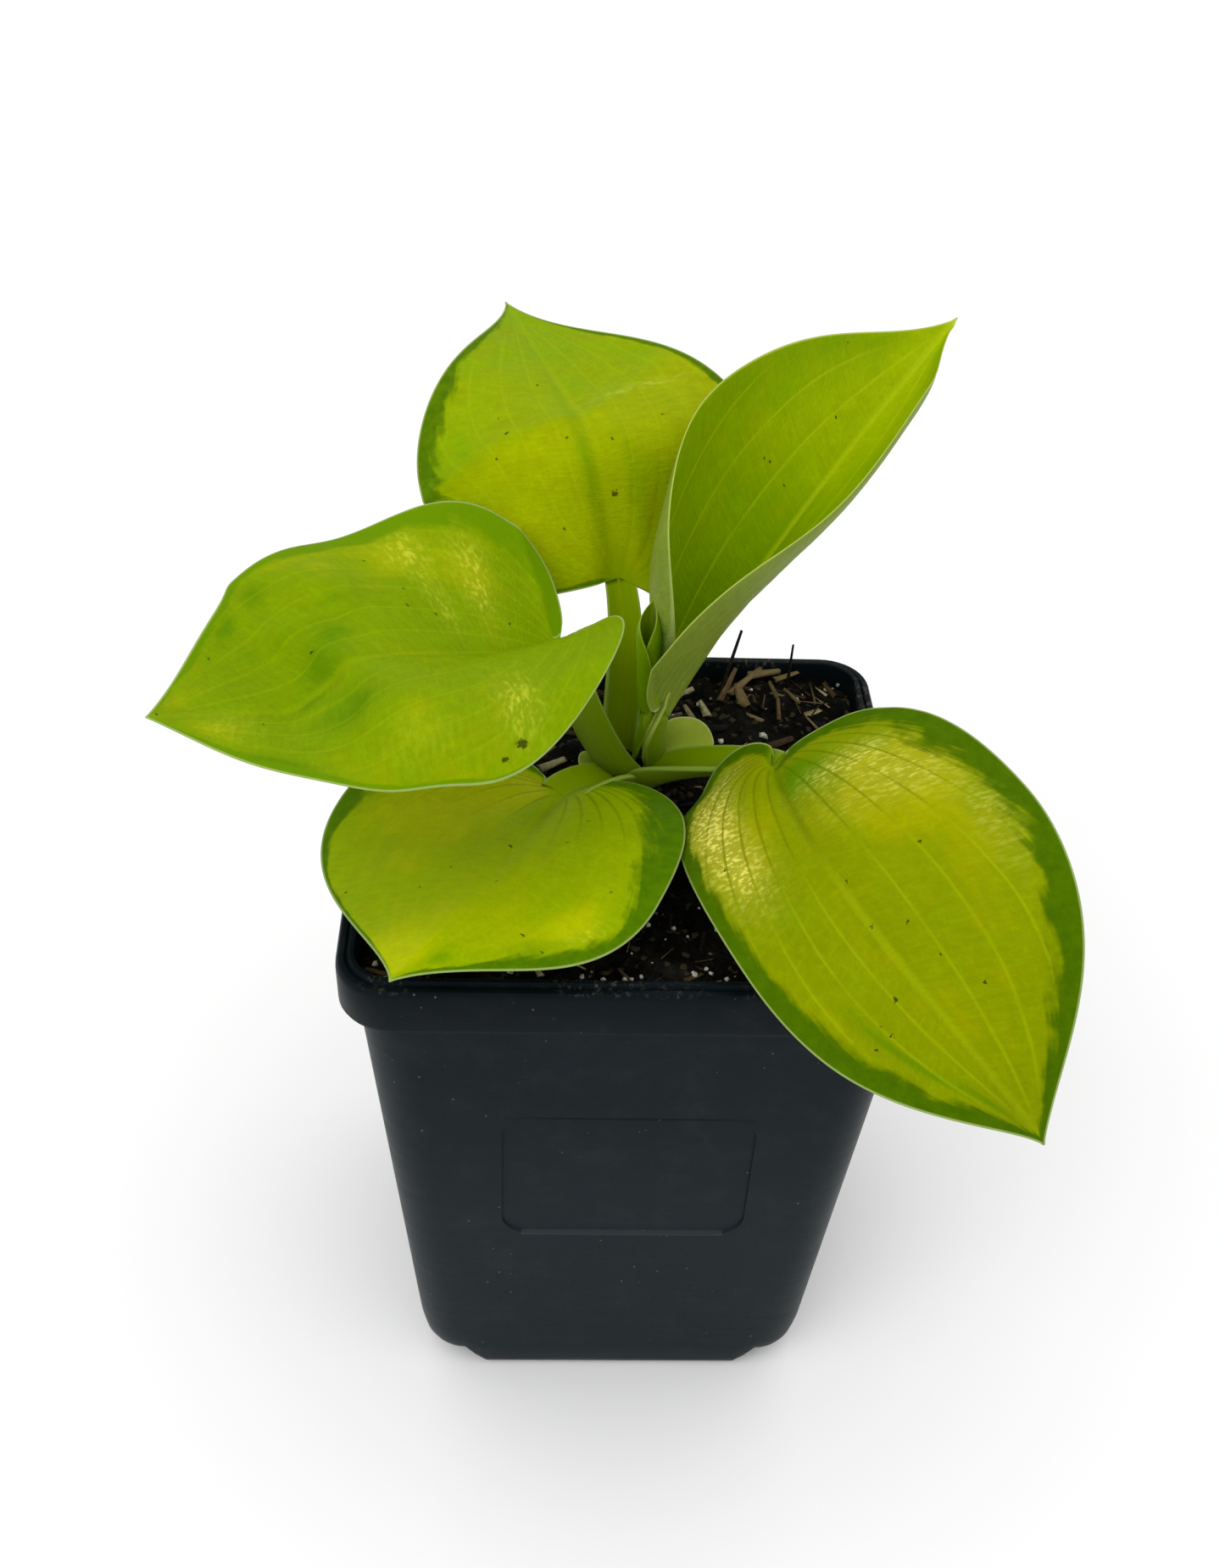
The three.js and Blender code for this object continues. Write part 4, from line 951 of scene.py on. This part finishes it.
def potMaterial():
    material, tree, shader = newMaterial("potPlastic", Specular_IOR_Level=0.05)
    where = objectPlace(tree)
    x, y, height = makeNode(tree, "ShaderNodeSeparateXYZ", {0: where}).outputs
    shades = cloud(tree, where, 30.0, 4.0)
    plain = mixColour(tree, shades, srgb(12, 20, 24), srgb(21, 30, 34))
    # The rim band is darker, and the lower wall paler
    plain = mixColour(tree, fade(tree, height, 0.118, 0.12, 0.0, 0.6), plain, srgb(3, 9, 13))
    plain = mixColour(tree, fade(tree, height, 0.05, 0.105, 0.5, 0.0), plain, srgb(31, 39, 42))
    onFront = calc(tree, "LESS_THAN", y, -0.045)
    acrossPanel = calc(tree, "ABSOLUTE", minus(tree, x, 0.0005))
    # Painted shadow under the label panel's top edge, and painted light along its foot
    for stripe in panelShadeAndLight:
        line = times(tree, fade(tree, height, *stripe["lower"]),
                     fade(tree, height, *stripe["upper"], 1.0, 0.0),
                     fade(tree, acrossPanel, 0.012, 0.024, 1.0, stripe["ends"]),
                     calc(tree, "LESS_THAN", acrossPanel, stripe["reach"]), onFront, stripe["strength"])
        plain = mixColour(tree, line, plain, srgb(*stripe["colour"]))
    grain = cloud(tree, where, 2600.0, 2.0)
    scuffs = cloud(tree, vectorCalc(tree, "MULTIPLY", where, (60, 60, 700))[0], 1.0, 3.0)
    dirt = placeGroup(tree, dust, {"Colour": plain, "Dust": srgb(110, 114, 110), "Specks": 0.6, "Film": 0.03,
                                   "Size": 800.0})
    # Soil has dried on the inner lip
    lip = times(tree, fade(tree, height, 0.1292, 0.1302), fade(tree, cloud(tree, where, 45.0), 0.42, 0.6),
                fade(tree, cloud(tree, where, 900.0, 4.0, 0.7), 0.52, 0.66), 0.45)
    colour = mixColour(tree, lip, dirt["Colour"], srgb(112, 104, 88))
    rough = plus(tree, scaled(tree, shades, 0.16, 0.3), times(tree, dirt["Mask"], 0.4))
    wireUp(tree, shader, colour, vary(tree, rough, (scuffs, 0.16)), scaled(tree, scuffs, 0.4, grain), 0.00003)
    return material


buildPot(potMaterial())
print("pot built")

# Potting mix: its height is a level with waves and two humps, roughened at several sizes
mix = dict(
    level=126, half=50.7, corner=8, gap=0.4, cells=210,
    lumps=((0.9, 4.5, 1.7), (0.55, 1.6, 5.1), (0.3, 0.75, 9.4)),  # height, size, place in the noise
    footRings=((37.7, 2.4, 5.8, 1), (32.5, 2.4, 5.8, 1), (23.5, 2.4, 4, 0)),
)
heap = dict(x=32, y=38, height=1.9, spread=15)
collar = dict(x=2.5, y=19, height=2.6, spread=11)


def swell(hump, x, y):
    away = (x - hump["x"]) ** 2 + (y - hump["y"]) ** 2
    return hump["height"] * math.exp(-away / (2 * hump["spread"] ** 2))


def roughHeight(x, y):
    z = mix["level"] + 0.45 * math.sin(0.21 * x + 0.4) * math.cos(0.17 * y - 0.3)
    z += 0.3 * math.sin(0.47 * x + 0.23 * y) + 0.25 * math.cos(0.39 * y - 0.31 * x)
    z += swell(heap, x, y) + swell(collar, x, y)
    for height, size, layer in mix["lumps"]:
        z += height * noise.noise(Vector((x / size, y / size, layer)))
    return z


# How far it is from the axis to a rounded square's outline, in the direction of x and y
def outlineReach(x, y, half, corner):
    toward = Vector((abs(x), abs(y))).normalized()
    reach = half / max(toward)
    flat = half - corner
    if min(toward) * reach <= flat:
        return reach
    middle = (toward.x + toward.y) * flat
    return middle + math.sqrt(middle * middle - 2 * flat * flat + corner * corner)


def onOutline(x, y, half, corner):
    return Vector((x, y, 0)).normalized() * outlineReach(x, y, half, corner)


def cornerLift(point, half, corner):
    share = min(abs(point.x), abs(point.y)) / (half - corner)
    return pot["cornerRaise"] * smoothstep(pot["footShare"], 1, share)


def buildMix(material):
    bm = bmesh.new()
    bmesh.ops.create_grid(bm, x_segments=mix["cells"], y_segments=mix["cells"], size=1)
    for vert in bm.verts:
        reach = max(abs(vert.co.x), abs(vert.co.y))
        point = vert.co * mix["half"]
        if reach > 0:
            point = point.lerp(onOutline(point.x, point.y, mix["half"], mix["corner"]) * reach, reach ** 3)
        vert.co = Vector((point.x, point.y, roughHeight(point.x, point.y)))
    rim = [edge for edge in bm.edges if edge.is_boundary]
    gap = pot["wall"] + mix["gap"]
    rings = [(bodyHalfAt(z) - gap, z, bodyCornerAt(z) - gap, 0) for z in (119.5, 60, 16)]
    rings += [(bodyHalfAt(6) - gap, 6, 7, 1), *mix["footRings"]]
    for half, z, corner, raised in rings:
        lowered = bmesh.ops.extrude_edge_only(bm, edges=rim)["geom"]
        for vert in [item for item in lowered if isinstance(item, bmesh.types.BMVert)]:
            point = onOutline(vert.co.x, vert.co.y, half, corner)
            point.z = z + raised * cornerLift(point, half, corner)
            vert.co = point
        rim = [item for item in lowered if isinstance(item, bmesh.types.BMEdge) and item.is_boundary]
    bmesh.ops.holes_fill(bm, edges=rim)
    bmesh.ops.recalc_face_normals(bm, faces=bm.faces[:])
    return finishPiece(bm, "pottingMix", [material], ["potting_mix"])


def mixMaterial():
    material, tree, shader = newMaterial("pottingMix", Specular_IOR_Level=0.04)
    where = objectPlace(tree)
    clumps = cloud(tree, where, 260.0, 5.0, 0.65)
    crumbs = cellsAt(tree, where, 900.0)
    chosen = fade(tree, colourPart(tree, crumbs["Color"], 1), 0.9, 0.94, 0.0, 0.6)
    colour = mixColour(tree, fade(tree, clumps, 0.4, 0.8), srgb(3, 3, 2), srgb(22, 19, 14))
    colour = mixColour(tree, chosen, colour, srgb(66, 58, 40))
    dirt = placeGroup(tree, dust, {"Colour": colour, "Dust": srgb(165, 158, 140), "Specks": 0.8, "Film": 0.03,
                                   "Size": 700.0})
    height = scaled(tree, crumbs["Distance"], -0.8, clumps)
    wireUp(tree, shader, dirt["Colour"], scaled(tree, clumps, 0.3, 0.65), height, 0.0006)
    return material


buildMix(mixMaterial())
print("potting mix built")

# Loose bits on the mix. Each carries its own tone, from dark bark to pale wood
bits = dict(
    chips=240, splinters=190, grains=110, reach=48, thick=0.55, ragged=0.16, dented=0.3, seed=8,
    placedChips=(  # x, y, length, width, turn, lean, how high its middle stands, tone
        (24.0, 48.5, 16, 0.9, 62, 48, 4.2, 0.15), (27.5, 47.5, 11, 2.2, 45, 10, 1.4, 0.75),
        (23.5, 46.0, 10, 1.6, 66, 16, 1.2, 0.6), (37.5, 49.0, 11, 0.7, 78, 56, 3.6, 0.1),
        (32.0, 49.5, 7, 2.2, 10, 8, 2.0, 0.85), (37.0, 49.0, 6, 2.0, 24, 6, 1.6, 0.75),
        (26.0, 41.5, 10, 2.6, 94, -8, 0.9, 0.7), (33.5, 44.0, 5.5, 1.4, 104, 8, 0.7, 0.6),
        (37.5, 42.0, 5.5, 1.0, 124, 6, 0.6, 0.7), (34.0, 36.5, 7, 1.1, 88, 6, 0.6, 0.6),
        (42.0, 41.0, 7, 0.3, 178, 4, 0.8, 0.7), (46.5, 46.0, 4.5, 1.6, 120, 10, 0.8, 0.4),
        (17.8, 38.5, 5, 2.2, 110, 12, 1.0, 1.1), (14.0, 44.0, 4, 1.8, 30, 10, 0.8, 0.95),
        (14.5, 36.5, 5, 1.6, 112, 8, 0.7, 0.95), (33.0, 24.5, 7, 3.0, 20, 8, 0.8, 0.35),
        (41.0, 32.5, 4.5, 0.8, 118, 4, 0.6, 0.75), (-15.7, 15.5, 6, 2.4, 26, 4, 0.8, 1.0),
        (-12.3, 13.0, 4.5, 2.0, 40, 10, 0.7, 1.05), (-18.0, 10.5, 4, 1.4, 55, 6, 0.7, 0.9),
        (13.5, -50.2, 4, 0.5, 20, 6, 2.6, 0.7),
    ),
    placedGrains=(  # x, y, size
        (49.0, 49.5, 0.75), (30.0, 27.5, 0.95), (17.0, 40.5, 0.8), (-10.0, -46.3, 0.6), (-6.0, -46.2, 0.55),
        (-2.0, -46.6, 0.7), (1.0, -45.9, 0.5), (11.0, -45.5, 0.6), (14.0, -44.3, 0.5), (17.0, -45.1, 0.55),
        (-48.0, -43.0, 0.6),
    ),
)


def jolt(rng, highest=1):
    return Vector((rng.uniform(-1, 1), rng.uniform(-1, 1), rng.uniform(-1, highest)))


def addBit(bm, toneLayer, x, y, length, width, turn, lean, raised, tone, sides=5):
    rng = random.Random(int(1000 * (x * 7.1 + y * 3.3)))
    matrix = Matrix.Translation((x, y, roughHeight(x, y) + raised))
    matrix = matrix @ Matrix.Rotation(math.radians(turn), 4, "Z")
    matrix = matrix @ Matrix.Rotation(-math.radians(lean), 4, "Y")
    matrix = matrix @ Matrix.Diagonal((1, 1, bits["thick"], 1)) @ Matrix.Rotation(math.pi / 2, 4, "Y")
    made = bmesh.ops.create_cone(bm, cap_ends=True, segments=sides, radius1=width / 2,
                                 radius2=width * rng.uniform(0.15, 0.4), depth=length, matrix=matrix)
    for vert in made["verts"]:
        vert.co += jolt(rng) * width * bits["ragged"]
        vert[toneLayer] = clamp(tone + rng.uniform(-0.08, 0.08))


def buildBits(material):
    rng = random.Random(bits["seed"])
    reach = bits["reach"]
    bm = bmesh.new()
    toneLayer = bm.verts.layers.float.new("tone")
    for chip in bits["placedChips"]:
        addBit(bm, toneLayer, *chip, sides=7)
    for i in range(bits["chips"]):
        x, y = rng.uniform(-reach, reach), rng.uniform(-reach, reach)
        length = rng.uniform(2, 6.5)
        addBit(bm, toneLayer, x, y, length, length * rng.uniform(0.22, 0.45), rng.uniform(0, 180),
               rng.uniform(-14, 14), 0.1, rng.random() ** 3.5)
    for i in range(bits["splinters"]):
        x, y = rng.uniform(-reach, reach), rng.uniform(-reach, reach)
        addBit(bm, toneLayer, x, y, rng.uniform(3, 8), rng.uniform(0.3, 0.6), rng.uniform(0, 180),
               rng.uniform(-10, 16), 0.5, rng.random() ** 1.6, sides=4)
    bmesh.ops.recalc_face_normals(bm, faces=bm.faces[:])
    return finishPiece(bm, "barkBits", [material])


def buildGrains(material):
    rng = random.Random(bits["seed"] + 1)
    reach = bits["reach"]
    bm = bmesh.new()
    grains = list(bits["placedGrains"])
    for i in range(bits["grains"]):
        grains.append((rng.uniform(-reach, reach), rng.uniform(-reach - 1, reach), rng.uniform(0.2, 0.75)))
    for x, y, size in grains:
        made = bmesh.ops.create_icosphere(bm, subdivisions=1, radius=size,
                                          matrix=Matrix.Translation((x, y, roughHeight(x, y) + 0.25 * size)))
        for vert in made["verts"]:
            vert.co += jolt(rng, 0.6) * size * bits["dented"]
    return finishPiece(bm, "paleGrains", [material])


def barkMaterial():
    material, tree, shader = newMaterial("bark", Specular_IOR_Level=0.1)
    fibre = cloud(tree, objectPlace(tree), 900.0, 4.0, 0.6)
    tone = vary(tree, surfaceValue(tree, "tone"), (fibre, 0.4))
    dark = mixColour(tree, fade(tree, tone, 0.05, 0.5), srgb(12, 10, 7), srgb(70, 54, 34))
    colour = mixColour(tree, fade(tree, tone, 0.4, 0.9), dark, srgb(122, 106, 70))
    colour = mixColour(tree, fade(tree, tone, 0.85, 1.1), colour, srgb(172, 168, 128))
    wireUp(tree, shader, colour, scaled(tree, fibre, 0.3, 0.6), fibre, 0.0003)
    return material


# A surface of two colours, mixed by one cloud that also gives its roughness and relief
def cloudedMaterial(name, look):
    material, tree, shader = newMaterial(name, Specular_IOR_Level=look["gloss"])
    pits = cloud(tree, objectPlace(tree), look["scale"], 4.0, 0.6)
    colour = mixColour(tree, fade(tree, pits, *look["between"]), srgb(*look["dark"]), srgb(*look["pale"]))
    wireUp(tree, shader, colour, scaled(tree, pits, 0.2, look["rough"]), pits, look["relief"])
    return material


grainLook = dict(dark=(120, 112, 98), pale=(205, 202, 190), between=(0.3, 0.6), scale=1600.0, rough=0.7,
                 relief=0.0002, gloss=0.3)
fleshLook = dict(dark=(150, 140, 96), pale=(196, 190, 146), between=(0.35, 0.65), scale=300.0, rough=0.5,
                 relief=0.0003, gloss=0.35)

buildBits(barkMaterial())
buildGrains(cloudedMaterial("paleGrain", grainLook))
print("bark and grains laid")

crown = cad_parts["crown"]
crown.data.materials.clear()
crown.data.materials.append(cloudedMaterial("crownFlesh", fleshLook))
print("crown coloured")

# Pale floor and soft studio light, in metres
studio = dict(
    floorSize=4.0, floorShade=(0.92, 0.92, 0.92, 1), floorRoughness=0.9, sky=0.7, aim=(0, 0, 0.12),
    # name, power, size, place
    lamps=(("ceiling", 116.0, 8.0, (0, 0, 3.0)), ("key", 3.5, 0.7, (-0.5, -0.7, 0.9))),
)


def makeStudio():
    bm = bmesh.new()
    bmesh.ops.create_grid(bm, x_segments=1, y_segments=1, size=studio["floorSize"])
    floor = linked("floor", meshFrom(bm, "floor"))
    pale = newMaterial("paleFloor", Base_Color=studio["floorShade"], Roughness=studio["floorRoughness"])
    floor.data.materials.append(pale[0])
    world = bpy.data.worlds.new("studio")
    world.use_nodes = True
    background = world.node_tree.nodes["Background"]
    background.inputs["Color"].default_value = (1, 1, 1, 1)
    background.inputs["Strength"].default_value = studio["sky"]
    bpy.context.scene.world = world
    for name, power, size, place in studio["lamps"]:
        data = bpy.data.lights.new(name, "AREA")
        data.energy = power
        data.size = size
        lamp = linked(name, data)
        lamp.location = place
        if place[0]:  # the ceiling lamp shines straight down as it is
            toPlant = Vector(studio["aim"]) - Vector(place)
            lamp.rotation_euler = toPlant.to_track_quat("-Z", "Y").to_euler()


makeStudio()
bpy.context.scene.view_settings.view_transform = "Standard"
print("studio lit")
